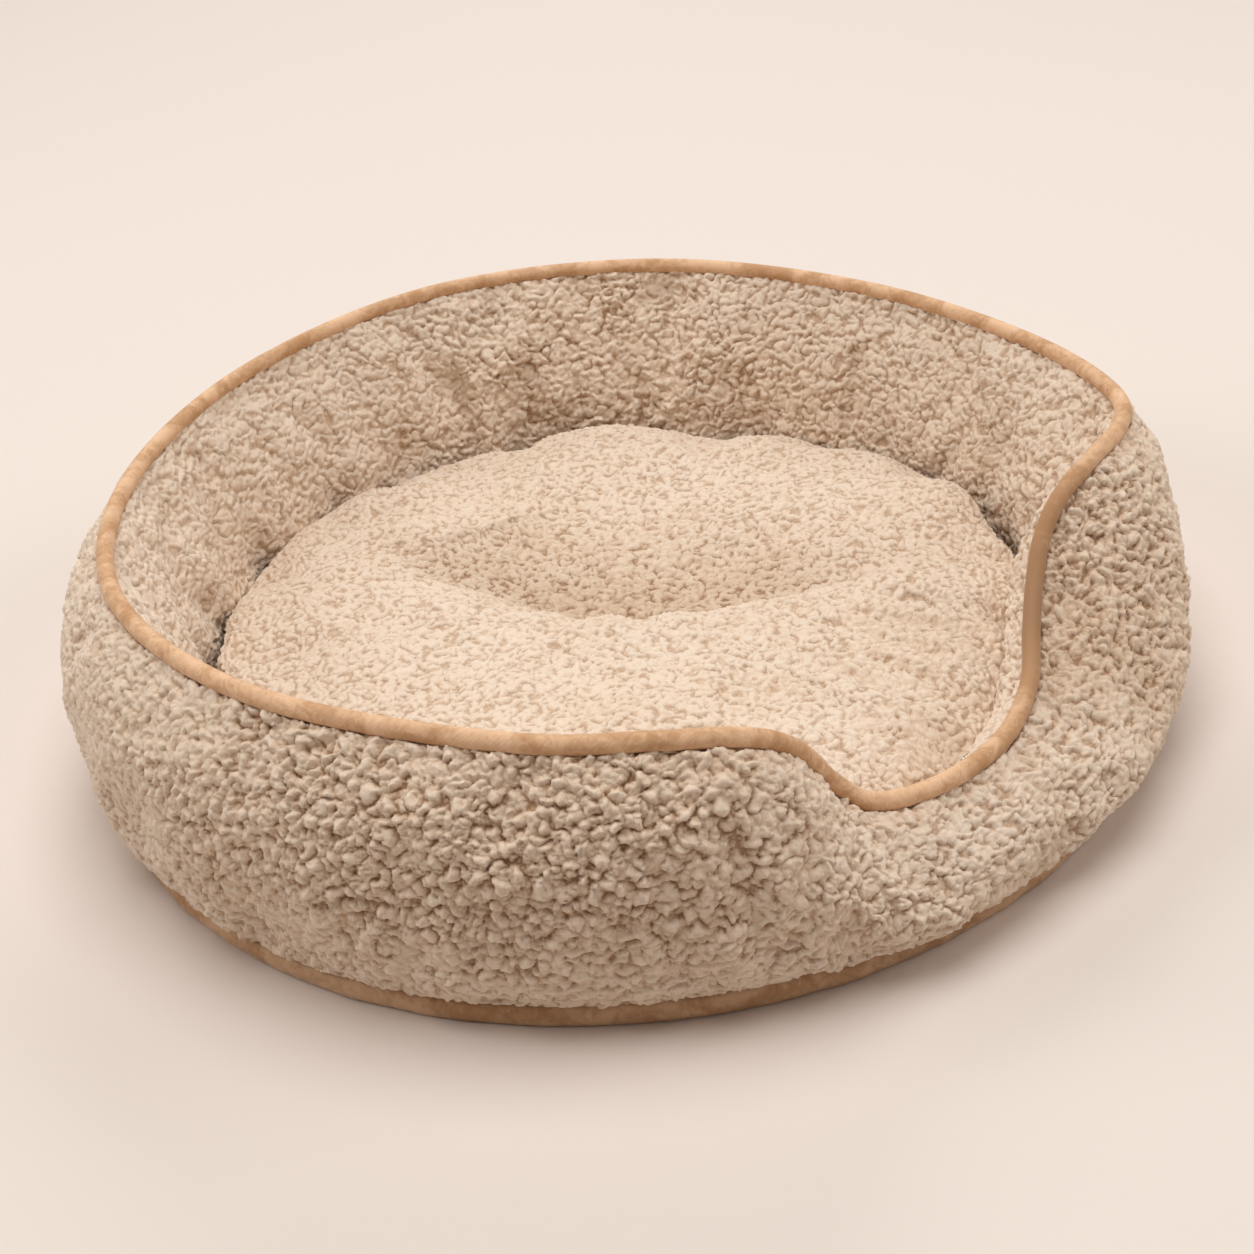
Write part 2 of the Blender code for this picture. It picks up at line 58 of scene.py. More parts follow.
# ---- Places taken from the frame ----
BASE_LOW, BASE_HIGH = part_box("base_band")
LINING_LOW, LINING_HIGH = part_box("floor_lining")
SIDE_LOW, SIDE_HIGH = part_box("cushion_side_band")
UNDER_LOW, UNDER_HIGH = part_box("cushion_bottom_cover")
BASE_RADIUS = BASE_HIGH.x
WALL_BOTTOM = LINING_HIGH.z + 0.6 * MM
CUSHION_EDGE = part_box("cushion_top_cover")[0].z

# The rim's centre line: angle in degrees from +X, radius, height. The entrance faces -Y.
RIM_STATIONS = (
    (-30, 0.2886, 0.1398), (0, 0.2829, 0.1416), (30, 0.2865, 0.1473), (60, 0.2859, 0.1509),
    (90, 0.2772, 0.1488), (120, 0.2742, 0.1461), (150, 0.2766, 0.1485), (180, 0.2775, 0.1521),
    (210, 0.2805, 0.1497), (222, 0.2820, 0.1476), (229, 0.2850, 0.1446), (233, 0.2805, 0.1335),
    (236, 0.2745, 0.1170), (239, 0.2715, 0.0960), (243, 0.2730, 0.0795), (250, 0.2760, 0.0750),
    (260, 0.2730, 0.0750), (270, 0.2604, 0.0780), (279, 0.2454, 0.0855), (286, 0.2394, 0.0960),
    (291, 0.2400, 0.1110), (295, 0.2475, 0.1260), (300, 0.2640, 0.1371), (306, 0.2835, 0.1416),
    (312, 0.2925, 0.1425),
)


# ---- Settings ----
def size(name, text, value):
    return bpy.props.FloatProperty(
        name=name, description=text, default=value, min=0.0, subtype="DISTANCE", unit="LENGTH", precision=4,
    )


def tint(name, text, value):
    return bpy.props.FloatVectorProperty(
        name=name, description=text, default=value, min=0.0, max=1.0, subtype="COLOR", size=3,
    )


class FleeceSettings(bpy.types.PropertyGroup):
    wall_clump: size("Wall curl", "Width of one curl on the wall", 0.0042)
    cushion_clump: size("Cushion curl", "Width of one curl on the cushion", 0.0038)
    wall_pile: size("Wall pile", "Height of the curls on the wall", 0.0044)
    cushion_pile: size("Cushion pile", "Height of the curls on the cushion", 0.0030)
    grid: size("Surface step", "Distance between points of the finished fleece", 0.00103)
    # Tip, middle and root colours run down the curls; the dark root colour is painted shade between them.
    tip: tint("Tip colour", "Colour of the curl tips", (0.87, 0.725, 0.585))
    middle: tint("Middle colour", "Colour half way down the curls", (0.79, 0.615, 0.46))
    root: tint("Root colour", "Colour between the curls", (0.42, 0.25, 0.145))


class SuedeSettings(bpy.types.PropertyGroup):
    piping_radius: size("Piping radius", "Radius of the rim piping", 0.0048)
    light: tint("Brushed colour", "Suede where the nap lies towards the eye", (0.82, 0.535, 0.33))
    dark: tint("Dark colour", "Suede where the nap lies away", (0.54, 0.295, 0.145))


class ClothSettings(bpy.types.PropertyGroup):
    lining: tint("Lining colour", "Colour of the plain woven cloth", (0.44, 0.33, 0.235))
    thread: size("Thread", "Width of one woven thread", 0.0007)
    dot: size("Grip dot", "Width of a grip dot under the base", 0.004)
    dot_gap: size("Grip dot spacing", "Distance between grip dots", 0.014)


class StageSettings(bpy.types.PropertyGroup):
    floor: tint("Floor colour", "Colour of the studio floor", (0.790, 0.700, 0.634))
    power: bpy.props.FloatProperty(
        name="Top light", description="Power of the overhead light; the others follow it",
        default=52.8, min=0.0, unit="POWER",
    )


# ---- Point grids ----
def periodic(values, count):
    """Resamples closed rows to count rows, evenly, by cubic interpolation."""
    n = len(values)
    place = np.arange(count) * n / count
    first = np.floor(place).astype(int)
    t = (place - first).reshape(-1, *([1] * (values.ndim - 1)))
    p0, p1, p2, p3 = (values[(first + k) % n] for k in (-1, 0, 1, 2))
    return cubic(p0, p1, p2, p3, t)


def open_rows(values, count):
    """Resamples open rows to count rows, ends kept, by cubic interpolation."""
    n = len(values)
    place = np.linspace(0.0, n - 1.0, count)
    first = np.clip(np.floor(place).astype(int), 0, n - 2)
    t = (place - first).reshape(-1, *([1] * (values.ndim - 1)))
    before = np.where(
        (first == 0).reshape(t.shape), 2 * values[0] - values[1], values[np.maximum(first - 1, 0)])
    after = np.where(
        (first == n - 2).reshape(t.shape), 2 * values[-1] - values[-2], values[np.minimum(first + 2, n - 1)])
    return cubic(before, values[first], values[first + 1], after, t)


def cubic(p0, p1, p2, p3, t):
    a = 2 * p1
    b = p2 - p0
    c = 2 * p0 - 5 * p1 + 4 * p2 - p3
    d = 3 * p1 - p0 - 3 * p2 + p3
    return 0.5 * (a + b * t + c * t * t + d * t * t * t)


def even_rows(points, count):
    """Respaces each column of an (rows, columns, 3) grid so its rows are evenly apart."""
    steps = np.linalg.norm(np.diff(points, axis=0), axis=2)
    travel = np.concatenate([np.zeros((1, points.shape[1])), np.cumsum(steps, axis=0)])
    travel /= travel[-1]
    where = np.linspace(0.0, 1.0, count)
    made = np.empty((count, points.shape[1], 3))
    for column in range(points.shape[1]):
        for axis in range(3):
            made[:, column, axis] = np.interp(where, travel[:, column], points[:, column, axis])
    return made


def smooth_noise(angle, seed, waves, low=1, high=12):
    """A smooth periodic variation round the bed, about -1 to 1."""
    random = np.random.default_rng(seed)
    total = np.zeros_like(angle)
    for wave in range(low, high + 1):
        total += random.normal() * np.cos(wave * waves * angle + random.uniform(0, 2 * math.pi)) / wave ** 0.5
    return total / 2.0


def drift(points, seed, wave, count=16):
    """Smooth random swelling over any surface, about -1 to 1, with lumps about half a wave wide."""
    random = np.random.default_rng(seed)
    total = np.zeros(points.shape[:-1])
    for _ in range(count):
        course = random.normal(size=3)
        course *= 2.0 * math.pi / wave * random.uniform(0.6, 1.4) / np.linalg.norm(course)
        total += np.cos(points @ course + random.uniform(0.0, 2.0 * math.pi))
    return total / math.sqrt(0.5 * count)


class Rim:
    """The rim's centre line, evenly spaced, with its outward side and its own upward direction."""

    def __init__(self, count):
        marks = np.array([
            (r * math.cos(math.radians(a)), r * math.sin(math.radians(a)), z) for a, r, z in RIM_STATIONS
        ])
        n = len(marks)
        fine = []
        per = 60
        t = (np.arange(per) / per)[:, None]
        for i in range(n):
            p0, p1, p2, p3 = (marks[(i + k) % n] for k in (-1, 0, 1, 2))
            gaps = (p1 - p0, p2 - p1, p3 - p2)
            k1, k2, k3 = np.cumsum([math.sqrt(np.linalg.norm(gap)) for gap in gaps])
            out = (p1 - p0) / k1 - (p2 - p0) / k2 + (p2 - p1) / (k2 - k1)
            into = (p2 - p1) / (k2 - k1) - (p3 - p1) / (k3 - k1) + (p3 - p2) / (k3 - k2)
            out, into = out * (k2 - k1), into * (k2 - k1)
            fine.append(
                p1 * (2 * t ** 3 - 3 * t ** 2 + 1) + out * (t ** 3 - 2 * t ** 2 + t)
                + p2 * (3 * t ** 2 - 2 * t ** 3) + into * (t ** 3 - t ** 2)
            )
        fine = np.concatenate(fine)
        closed = np.vstack([fine, fine[:1]])
        travel = np.concatenate([[0.0], np.cumsum(np.linalg.norm(np.diff(closed, axis=0), axis=1))])
        self.length = travel[-1]
        where = np.arange(count) * self.length / count
        self.along = where
        self.points = np.stack([np.interp(where, travel, closed[:, k]) for k in range(3)], axis=1)
        ahead = np.roll(self.points, -1, axis=0) - np.roll(self.points, 1, axis=0)
        self.tangent = ahead / np.linalg.norm(ahead, axis=1)[:, None]
        flat = np.stack([self.tangent[:, 1], -self.tangent[:, 0], np.zeros(count)], axis=1)
        self.side = flat / np.linalg.norm(flat, axis=1)[:, None]
        self.up = np.cross(self.side, self.tangent)
        self.angle = np.arctan2(self.points[:, 1], self.points[:, 0])
        self.radius = np.hypot(self.points[:, 0], self.points[:, 1])
        self.height = self.points[:, 2]

    def beside(self, sideways, upwards):
        return self.points + self.side * sideways + self.up * upwards


def polar(angle, radius, height):
    angle, radius, height = np.broadcast_arrays(angle, radius, height)
    return np.stack([radius * np.cos(angle), radius * np.sin(angle), height], axis=-1)


def heading(points):
    """Each point's angle round the bed, in degrees from +X."""
    return np.degrees(np.arctan2(points[..., 1], points[..., 0]))


def turned(angle, centre):
    """How far an angle is from a centre, from -180 to 180 degrees."""
    return np.mod(angle - centre + 180.0, 360.0) - 180.0


def bump(angle, centre, spread, power=2):
    """1 at an angle round the bed, falling smoothly to 0 on both sides of it."""
    return np.exp(-(turned(angle, centre) / spread) ** power)


# ---- Meshes ----
def skin(name, points, close_rows=True, close_columns=True, extra_points=(), extra_faces=()):
    """Makes a mesh of quads over a (rows, columns, 3) grid, closed across rows, columns or both."""
    rows, columns = points.shape[:2]
    index = np.arange(rows * columns).reshape(rows, columns)
    below = index if close_rows else index[:-1]
    above = np.roll(index, -1, axis=0) if close_rows else index[1:]
    if close_columns:
        quads = np.stack([below, np.roll(below, -1, 1), np.roll(above, -1, 1), above], axis=-1)
    else:
        quads = np.stack([below[:, :-1], below[:, 1:], above[:, 1:], above[:, :-1]], axis=-1)
    quads = quads.reshape(-1, 4)
    places = np.vstack([points.reshape(-1, 3), *[np.reshape(extra_points, (-1, 3))]])
    faces = [quads] + [np.array(f) for f in extra_faces]
    return mesh_object(name, places, faces)


def mesh_object(name, places, face_groups):
    """An object from points and groups of equal-sided faces, turned outwards if its volume is negative."""
    volume = 0.0
    for faces in face_groups:
        a = places[faces[:, 0]]
        for k in range(1, faces.shape[1] - 1):
            volume += np.einsum("ij,ij->", a, np.cross(places[faces[:, k]], places[faces[:, k + 1]]))
    if volume < 0.0:
        face_groups = [faces[:, ::-1] for faces in face_groups]
    mesh = bpy.data.meshes.new(name)
    mesh.vertices.add(len(places))
    mesh.vertices.foreach_set("co", places.astype(np.float32).ravel())
    corners = np.concatenate([faces.ravel() for faces in face_groups])
    counts = np.concatenate([np.full(len(faces), faces.shape[1]) for faces in face_groups])
    starts = np.concatenate([[0], np.cumsum(counts)[:-1]])
    mesh.loops.add(len(corners))
    mesh.loops.foreach_set("vertex_index", corners.astype(np.int32))
    mesh.polygons.add(len(counts))
    mesh.polygons.foreach_set("loop_start", starts.astype(np.int32))
    mesh.update(calc_edges=True)
    mesh.validate()
    mesh.shade_smooth()
    made = bpy.data.objects.new(name, mesh)
    bpy.context.scene.collection.objects.link(made)
    return made


def set_values(piece, name, values):
    """Stores one number for each point of a piece."""
    attribute = piece.data.attributes.new(name, "FLOAT", "POINT")
    attribute.data.foreach_set("value", np.asarray(values, np.float32).ravel())


def set_uv(piece, along, around):
    """Gives each point its distance along and around the cloth, in metres, as a UV map."""
    layer = piece.data.uv_layers.new(name="cloth")
    corner = np.empty(len(piece.data.loops), np.int32)
    piece.data.loops.foreach_get("vertex_index", corner)
    values = np.stack([np.ravel(along)[corner], np.ravel(around)[corner]], axis=1)
    layer.data.foreach_set("uv", values.astype(np.float32).ravel())


def positions(mesh):
    values = np.empty(len(mesh.vertices) * 3, np.float32)
    mesh.vertices.foreach_get("co", values)
    return values.reshape(-1, 3).astype(float)


def inflate(piece, pinned, pressure, growth, most, frames=20):
    """Blows a closed cloth body up with pinned points held, and returns its moved points."""
    rest = positions(piece.data)
    group = piece.vertex_groups.new(name="pinned")
    group.add([int(i) for i in np.flatnonzero(pinned)], 1.0, "REPLACE")
    cloth = piece.modifiers.new("cloth", "CLOTH")
    cloth.settings.quality = 6
    cloth.settings.mass = 0.25
    cloth.settings.tension_stiffness = 18.0
    cloth.settings.compression_stiffness = 12.0
    cloth.settings.shear_stiffness = 8.0
    cloth.settings.bending_stiffness = 0.6
    cloth.settings.air_damping = 2.0
    cloth.settings.use_pressure = True
    cloth.settings.uniform_pressure_force = pressure
    cloth.settings.effector_weights.gravity = 0.0
    cloth.settings.vertex_group_mass = "pinned"
    cloth.settings.shrink_min = -growth
    cloth.settings.shrink_max = -growth
    cloth.collision_settings.use_collision = False
    cloth.point_cache.frame_start = 1
    cloth.point_cache.frame_end = frames
    scene = bpy.context.scene
    scene.frame_start = 1
    scene.frame_end = frames
    for number in range(1, frames + 1):
        scene.frame_set(number)
    graph = bpy.context.evaluated_depsgraph_get()
    moved = positions(piece.evaluated_get(graph).data)
    step = moved - rest
    length = np.linalg.norm(step, axis=1)[:, None]
    step *= np.minimum(1.0, most / np.maximum(length, 1e-9))
    bpy.data.objects.remove(piece)
    scene.frame_set(1)
    return rest + step


# ---- Node helpers ----
def add_node(tree, kind, settings=None, **inputs):
    """Adds a node, sets its own settings, then its inputs by name: sockets are linked, numbers stored."""
    node = tree.nodes.new(kind)
    for key, value in (settings or {}).items():
        setattr(node, key, value)
    for key, value in inputs.items():
        connect(tree, value, node.inputs[key.replace("_", " ")])
    return node


def connect(tree, value, socket):
    if isinstance(value, bpy.types.NodeSocket):
        tree.links.new(value, socket)
    else:
        socket.default_value = value


def maths(tree, operation, *values, clamp=False):
    node = tree.nodes.new("ShaderNodeMath")
    node.operation = operation
    node.use_clamp = clamp
    for socket, value in zip(node.inputs, values):
        connect(tree, value, socket)
    return node.outputs[0]


def vectors(tree, operation, *values, scale=None):
    node = tree.nodes.new("ShaderNodeVectorMath")
    node.operation = operation
    for socket, value in zip(node.inputs, values):
        connect(tree, value, socket)
    if scale is not None:
        connect(tree, scale, node.inputs["Scale"])
    return node.outputs[0]


def ramp(tree, value, stops):
    node = tree.nodes.new("ShaderNodeValToRGB")
    connect(tree, value, node.inputs[0])
    ends = node.color_ramp.elements
    while len(ends) < len(stops):
        ends.new(0.5)
    for element, (place, colour) in zip(ends, stops):
        element.position = place
        element.color = (*colour, 1.0)
    return node.outputs[0]


def map_range(tree, value, low, high, to_low=0.0, to_high=1.0, smooth=False):
    node = tree.nodes.new("ShaderNodeMapRange")
    node.interpolation_type = "SMOOTHSTEP" if smooth else "LINEAR"
    for socket, number in zip(node.inputs, (value, low, high, to_low, to_high)):
        connect(tree, number, socket)
    return node.outputs[0]


def mix_colour(tree, factor, first, second, blend="MIX"):
    node = tree.nodes.new("ShaderNodeMix")
    node.data_type = "RGBA"
    node.blend_type = blend
    connect(tree, factor, node.inputs[0])
    for socket, value in ((node.inputs[6], first), (node.inputs[7], second)):
        connect(tree, value if isinstance(value, bpy.types.NodeSocket) else (*value, 1.0), socket)
    return node.outputs[2]


def stored(tree, name):
    """A number that the mesh stores at each point, in a geometry tree."""
    node = add_node(tree, "GeometryNodeInputNamedAttribute", {"data_type": "FLOAT"}, Name=name)
    return node.outputs[0]


def noise(tree, spot, scale, detail, distortion=0.0):
    """A soft random pattern, about 0.3 to 0.7."""
    node = add_node(
        tree, "ShaderNodeTexNoise", Vector=spot, Scale=scale, Detail=detail, Distortion=distortion)
    return node.outputs[0]


def tinted(colour, factor):
    """A lighter or darker copy of a colour."""
    return tuple(min(1.0, factor * c) for c in colour)


def geometry_tree(name, sockets):
    """A geometry tree with its inputs by name, and its group input and output nodes."""
    tree = bpy.data.node_groups.new(name, "GeometryNodeTree")
    tree.interface.new_socket("Geometry", in_out="INPUT", socket_type="NodeSocketGeometry")
    for label, kind, value in sockets:
        socket = tree.interface.new_socket(label, in_out="INPUT", socket_type=kind)
        if value is not None:
            socket.default_value = value
    tree.interface.new_socket("Geometry", in_out="OUTPUT", socket_type="NodeSocketGeometry")
    return tree, tree.nodes.new("NodeGroupInput"), tree.nodes.new("NodeGroupOutput")


def run_tree(piece, tree, values):
    """Runs a geometry tree on a piece once and keeps the result as a plain mesh."""
    modifier = piece.modifiers.new(tree.name, "NODES")
    modifier.node_group = tree
    for item in tree.interface.items_tree:
        if item.item_type == "SOCKET" and item.in_out == "INPUT" and item.name in values:
            modifier[item.identifier] = values[item.name]
    graph = bpy.context.evaluated_depsgraph_get()
    made = bpy.data.meshes.new_from_object(piece.evaluated_get(graph))
    piece.modifiers.remove(modifier)
    old = piece.data
    piece.data = made
    bpy.data.meshes.remove(old)
    made.name = piece.name
    return piece


# ---- Fleece pile ----
def curl_field(tree, place, knob, clump):
    """Curls at a place: round beads, the looser clusters they gather in, and a sideways wobble.

    Beads and clusters run from 0 in the gaps to 1 on top.
    """
    half = (0.5, 0.5, 0.5)
    sway = add_node(tree, "ShaderNodeTexNoise", Vector=place, Scale=95.0, Detail=1.0).outputs["Color"]
    kink = add_node(tree, "ShaderNodeTexNoise", Vector=place, Scale=340.0, Detail=1.0).outputs["Color"]
    wobble = vectors(tree, "SUBTRACT", kink, half)
    drawn = vectors(tree, "SCALE", vectors(tree, "SUBTRACT", sway, half), scale=0.011)
    spot = vectors(tree, "ADD", place, drawn)
    spot = vectors(tree, "ADD", spot, vectors(tree, "SCALE", wobble, scale=0.0022))
    beads = []
    for width in (1.0, 1.22):
        reach = maths(tree, "DIVIDE", 1.0 / width, clump)
        cell = add_node(tree, "ShaderNodeTexVoronoi", {"feature": "F1"}, Vector=spot, Scale=reach)
        chance = add_node(tree, "ShaderNodeSeparateXYZ", Vector=cell.outputs["Color"]).outputs[0]
        away = maths(tree, "POWER", maths(tree, "MULTIPLY", cell.outputs["Distance"], 1.42), 2.0)
        bead = maths(tree, "SQRT", maths(tree, "SUBTRACT", 1.0, away, clamp=True))
        beads.append(maths(tree, "MULTIPLY", bead, map_range(tree, chance, 0.0, 1.0, 0.74, 1.0)))
    blend = map_range(tree, knob, 0.30, 0.62, smooth=True)
    mixed = add_node(tree, "ShaderNodeMix", {"data_type": "FLOAT"})
    for number, value in ((0, blend), (2, beads[0]), (3, beads[1])):
        connect(tree, value, mixed.inputs[number])
    reach = maths(tree, "DIVIDE", 0.56, clump)
    loose = vectors(tree, "ADD", place, vectors(tree, "SCALE", drawn, scale=0.7))
    loose = vectors(tree, "ADD", loose, vectors(tree, "SCALE", wobble, scale=0.0050))
    edge = add_node(tree, "ShaderNodeTexVoronoi", {"feature": "DISTANCE_TO_EDGE"}, Vector=loose, Scale=reach)
    cluster = maths(tree, "POWER", maths(tree, "MULTIPLY", edge.outputs[0], 3.4, clamp=True), 0.7)
    return mixed.outputs[0], cluster, wobble


def curl_height(tree, beads, cluster, knob):
    """Joins beads and clusters to one height: the looser the pile, the deeper the gaps between clusters."""
    weight = map_range(tree, knob, 0.0, 0.9, 0.14, 0.50)
    joined = add_node(tree, "ShaderNodeMix", {"data_type": "FLOAT"})
    for number, value in ((0, weight), (2, beads), (3, cluster)):
        connect(tree, value, joined.inputs[number])
    return joined.outputs[0]


def pile_tree():
    """Raises curly clumps on a smooth surface, along its normals."""
    tree, given, result = geometry_tree("fleece_pile", (
        ("Clump", "NodeSocketFloat", 0.0065),
        ("Height", "NodeSocketFloat", 0.003),
        ("Material", "NodeSocketMaterial", None),
    ))
    place = tree.nodes.new("GeometryNodeInputPosition").outputs[0]
    normal = tree.nodes.new("GeometryNodeInputNormal").outputs[0]
    cover = stored(tree, "cover")
    knob = stored(tree, "knob")
    rested = add_node(
        tree, "GeometryNodeStoreNamedAttribute", {"data_type": "FLOAT_VECTOR", "domain": "POINT"},
        Geometry=given.outputs["Geometry"], Name="rest", Value=place)
    beads, cluster, wobble = curl_field(tree, place, knob, given.outputs["Clump"])
    pile = curl_height(tree, beads, cluster, knob)
    patches = add_node(tree, "ShaderNodeTexNoise", Vector=place, Scale=24.0, Detail=2.0)
    lively = map_range(tree, patches.outputs[0], 0.3, 0.7, 0.75, 1.15)
    lively = maths(tree, "MULTIPLY", lively, map_range(tree, knob, 0.0, 1.0, 0.60, 1.30))
    lively = maths(tree, "MULTIPLY", lively, cover)
    rise = maths(tree, "MULTIPLY", maths(tree, "SUBTRACT", pile, 0.6), given.outputs["Height"])
    lift = vectors(tree, "SCALE", normal, scale=maths(tree, "MULTIPLY", rise, lively))
    leaning = maths(tree, "MULTIPLY", maths(tree, "MULTIPLY", pile, lively), 0.0030)
    lean = vectors(tree, "SCALE", wobble, scale=leaning)
    moved = add_node(
        tree, "GeometryNodeSetPosition", Geometry=rested.outputs[0], Offset=vectors(tree, "ADD", lift, lean))
    plain = add_node(tree, "GeometryNodeRealizeInstances", Geometry=moved.outputs[0])
    dressed = add_node(
        tree, "GeometryNodeSetMaterial", Geometry=plain.outputs[0], Material=given.outputs["Material"])
    tree.links.new(dressed.outputs[0], result.inputs[0])
    return tree


# ---- Materials ----
def new_material(name):
    material = bpy.data.materials.new(name)
    material.use_nodes = True
    tree = material.node_tree
    tree.nodes.clear()
    shader = tree.nodes.new("ShaderNodeBsdfPrincipled")
    output = tree.nodes.new("ShaderNodeOutputMaterial")
    tree.links.new(shader.outputs[0], output.inputs[0])
    place = tree.nodes.new("ShaderNodeTexCoord")
    return material, tree, shader, place


def fleece(name, settings, clump):
    """Curly fleece: dark between the curls from painted shade and pale on their tips, with fine fibres on
    each curl.
    """
    material, tree, shader, place = new_material(name)
    spot = place.outputs["Object"]
    rest = add_node(tree, "ShaderNodeAttribute", {"attribute_name": "rest"}).outputs["Vector"]
    knob = add_node(tree, "ShaderNodeAttribute", {"attribute_name": "knob"}).outputs["Fac"]
    beads, cluster, _ = curl_field(tree, rest, knob, clump)
    pile = curl_height(tree, beads, cluster, knob)
    root, middle, tip = tuple(settings.root), tuple(settings.middle), tuple(settings.tip)
    # Painted shading attribute: above zero it paints shade in dips, creases and beside the entrance, below
    # zero it paints light.
    hollow = add_node(tree, "ShaderNodeAttribute", {"attribute_name": "hollow"}).outputs["Fac"]
    # Looser pile shows more of the painted root shade, finer pile less.
    depth = map_range(tree, knob, 0.0, 0.8, 0.22, -0.02)
    depth = maths(tree, "SUBTRACT", depth, maths(tree, "MULTIPLY", hollow, 0.16))
    # The ramp paints shade between the curls: root colour in the gaps, tip colour on top.
    between = tuple(0.45 * a + 0.55 * b for a, b in zip(root, middle))
    colour = ramp(tree, maths(tree, "ADD", pile, depth), (
        (0.06, root), (0.24, between), (0.46, middle), (0.84, tip)))
    patches = noise(tree, spot, 9.0, 3.0)
    warmth = map_range(tree, patches, 0.35, 0.7, 0.0, 0.5)
    warm = mix_colour(tree, warmth, (1.0, 1.0, 1.0), (0.95, 0.91, 0.86))
    colour = mix_colour(tree, 1.0, colour, warm, "MULTIPLY")
    # Painted shade: a darker multiply where the painted shading attribute is high.
    colour = mix_colour(tree, maths(tree, "MULTIPLY", hollow, 0.85), colour, (0.80, 0.76, 0.72), "MULTIPLY")
    strands = noise(tree, spot, 1100.0, 2.0, 1.5)
    # Fine fibres: painted shade between the strands, mixed in from the root colour.
    colour = mix_colour(tree, map_range(tree, strands, 0.35, 0.7, 0.16, 0.0), colour, root)
    tree.links.new(colour, shader.inputs["Base Color"])
    height = maths(tree, "ADD", pile, maths(tree, "MULTIPLY", strands, 0.25))
    bump = add_node(tree, "ShaderNodeBump", Strength=0.55, Distance=0.0016, Height=height)
    tree.links.new(bump.outputs[0], shader.inputs["Normal"])
    shader.inputs["Roughness"].default_value = 0.95
    shader.inputs["Specular IOR Level"].default_value = 0.12
    shader.inputs["Sheen Weight"].default_value = 0.30
    shader.inputs["Sheen Roughness"].default_value = 0.45
    shader.inputs["Sheen Tint"].default_value = (1.0, 0.93, 0.86, 1.0)
    return material


def suede(name, settings, brightness=1.0):
    """Short-napped suede cloth: mottled where the nap is brushed, with a fine twill under it."""
    material, tree, shader, place = new_material(name)
    spot = place.outputs["Object"]
    cloth = add_node(tree, "ShaderNodeUVMap", {"uv_map": "cloth"}).outputs[0]
    light, dark = tinted(settings.light, brightness), tinted(settings.dark, brightness)
    broad = maths(tree, "MULTIPLY", noise(tree, spot, 34.0, 4.0, 0.8), 0.7)
    brushed = maths(tree, "MULTIPLY", noise(tree, spot, 160.0, 3.0, 1.5), 0.3)
    mottle = maths(tree, "ADD", broad, brushed)
    # Painted shade: the nap attribute darkens and dulls the suede where the rim climbs out of the entrance.
    climb_shade = add_node(tree, "ShaderNodeAttribute", {"attribute_name": "nap"}).outputs["Fac"]
    mottle = maths(tree, "SUBTRACT", mottle, maths(tree, "MULTIPLY", climb_shade, 0.20))
    colour = mix_colour(tree, map_range(tree, mottle, 0.36, 0.62, smooth=True), dark, light)
    lines = add_node(
        tree, "ShaderNodeTexWave", {"wave_type": "BANDS", "bands_direction": "DIAGONAL"},
        Vector=cloth, Scale=240.0, Distortion=1.5, Detail=1.0).outputs[1]
    colour = mix_colour(tree, maths(tree, "MULTIPLY", lines, 0.10), colour, dark)
    # Painted shade: a much darker suede mixed in where the rim climbs.
    colour = mix_colour(tree, maths(tree, "MULTIPLY", climb_shade, 0.80), colour, tinted(dark, 0.55))
    tree.links.new(colour, shader.inputs["Base Color"])
    grain = noise(tree, spot, 1400.0, 2.0)
    height = maths(tree, "ADD", maths(tree, "MULTIPLY", grain, 0.6), maths(tree, "MULTIPLY", lines, 0.4))
    bump = add_node(tree, "ShaderNodeBump", Strength=0.35, Distance=0.0004, Height=height)
    tree.links.new(bump.outputs[0], shader.inputs["Normal"])
    rough = map_range(tree, mottle, 0.3, 0.7, 0.72, 0.92)
    tree.links.new(rough, shader.inputs["Roughness"])
    shader.inputs["Specular IOR Level"].default_value = 0.25
    shader.inputs["Sheen Weight"].default_value = 0.35
    shader.inputs["Sheen Roughness"].default_value = 0.35
    shader.inputs["Sheen Tint"].default_value = (1.0, 0.84, 0.66, 1.0)
    return material


def woven(name, colour, thread):
    """Plain woven cloth with crossing threads."""
    material, tree, shader, place = new_material(name)
    spot = place.outputs["Object"]
    parts = add_node(tree, "ShaderNodeSeparateXYZ", Vector=spot)
    turn = 2.0 * math.pi / (2.0 * thread)
    warp = maths(tree, "SINE", maths(tree, "MULTIPLY", parts.outputs[0], turn))
    weft = maths(tree, "SINE", maths(tree, "MULTIPLY", parts.outputs[1], turn))
    cross = maths(tree, "MULTIPLY", warp, weft)
    weave = map_range(tree, cross, -1.0, 1.0, 0.0, 1.0)
    shade = mix_colour(tree, noise(tree, spot, 60.0, 4.0), tinted(colour, 0.86), tinted(colour, 1.12))
    shade = mix_colour(tree, maths(tree, "MULTIPLY", weave, 0.3), shade, tinted(colour, 0.55))
    tree.links.new(shade, shader.inputs["Base Color"])
    bump = add_node(tree, "ShaderNodeBump", Strength=0.6, Distance=0.0003, Height=weave)
    tree.links.new(bump.outputs[0], shader.inputs["Normal"])
    shader.inputs["Roughness"].default_value = 0.88
    shader.inputs["Specular IOR Level"].default_value = 0.2
    return material


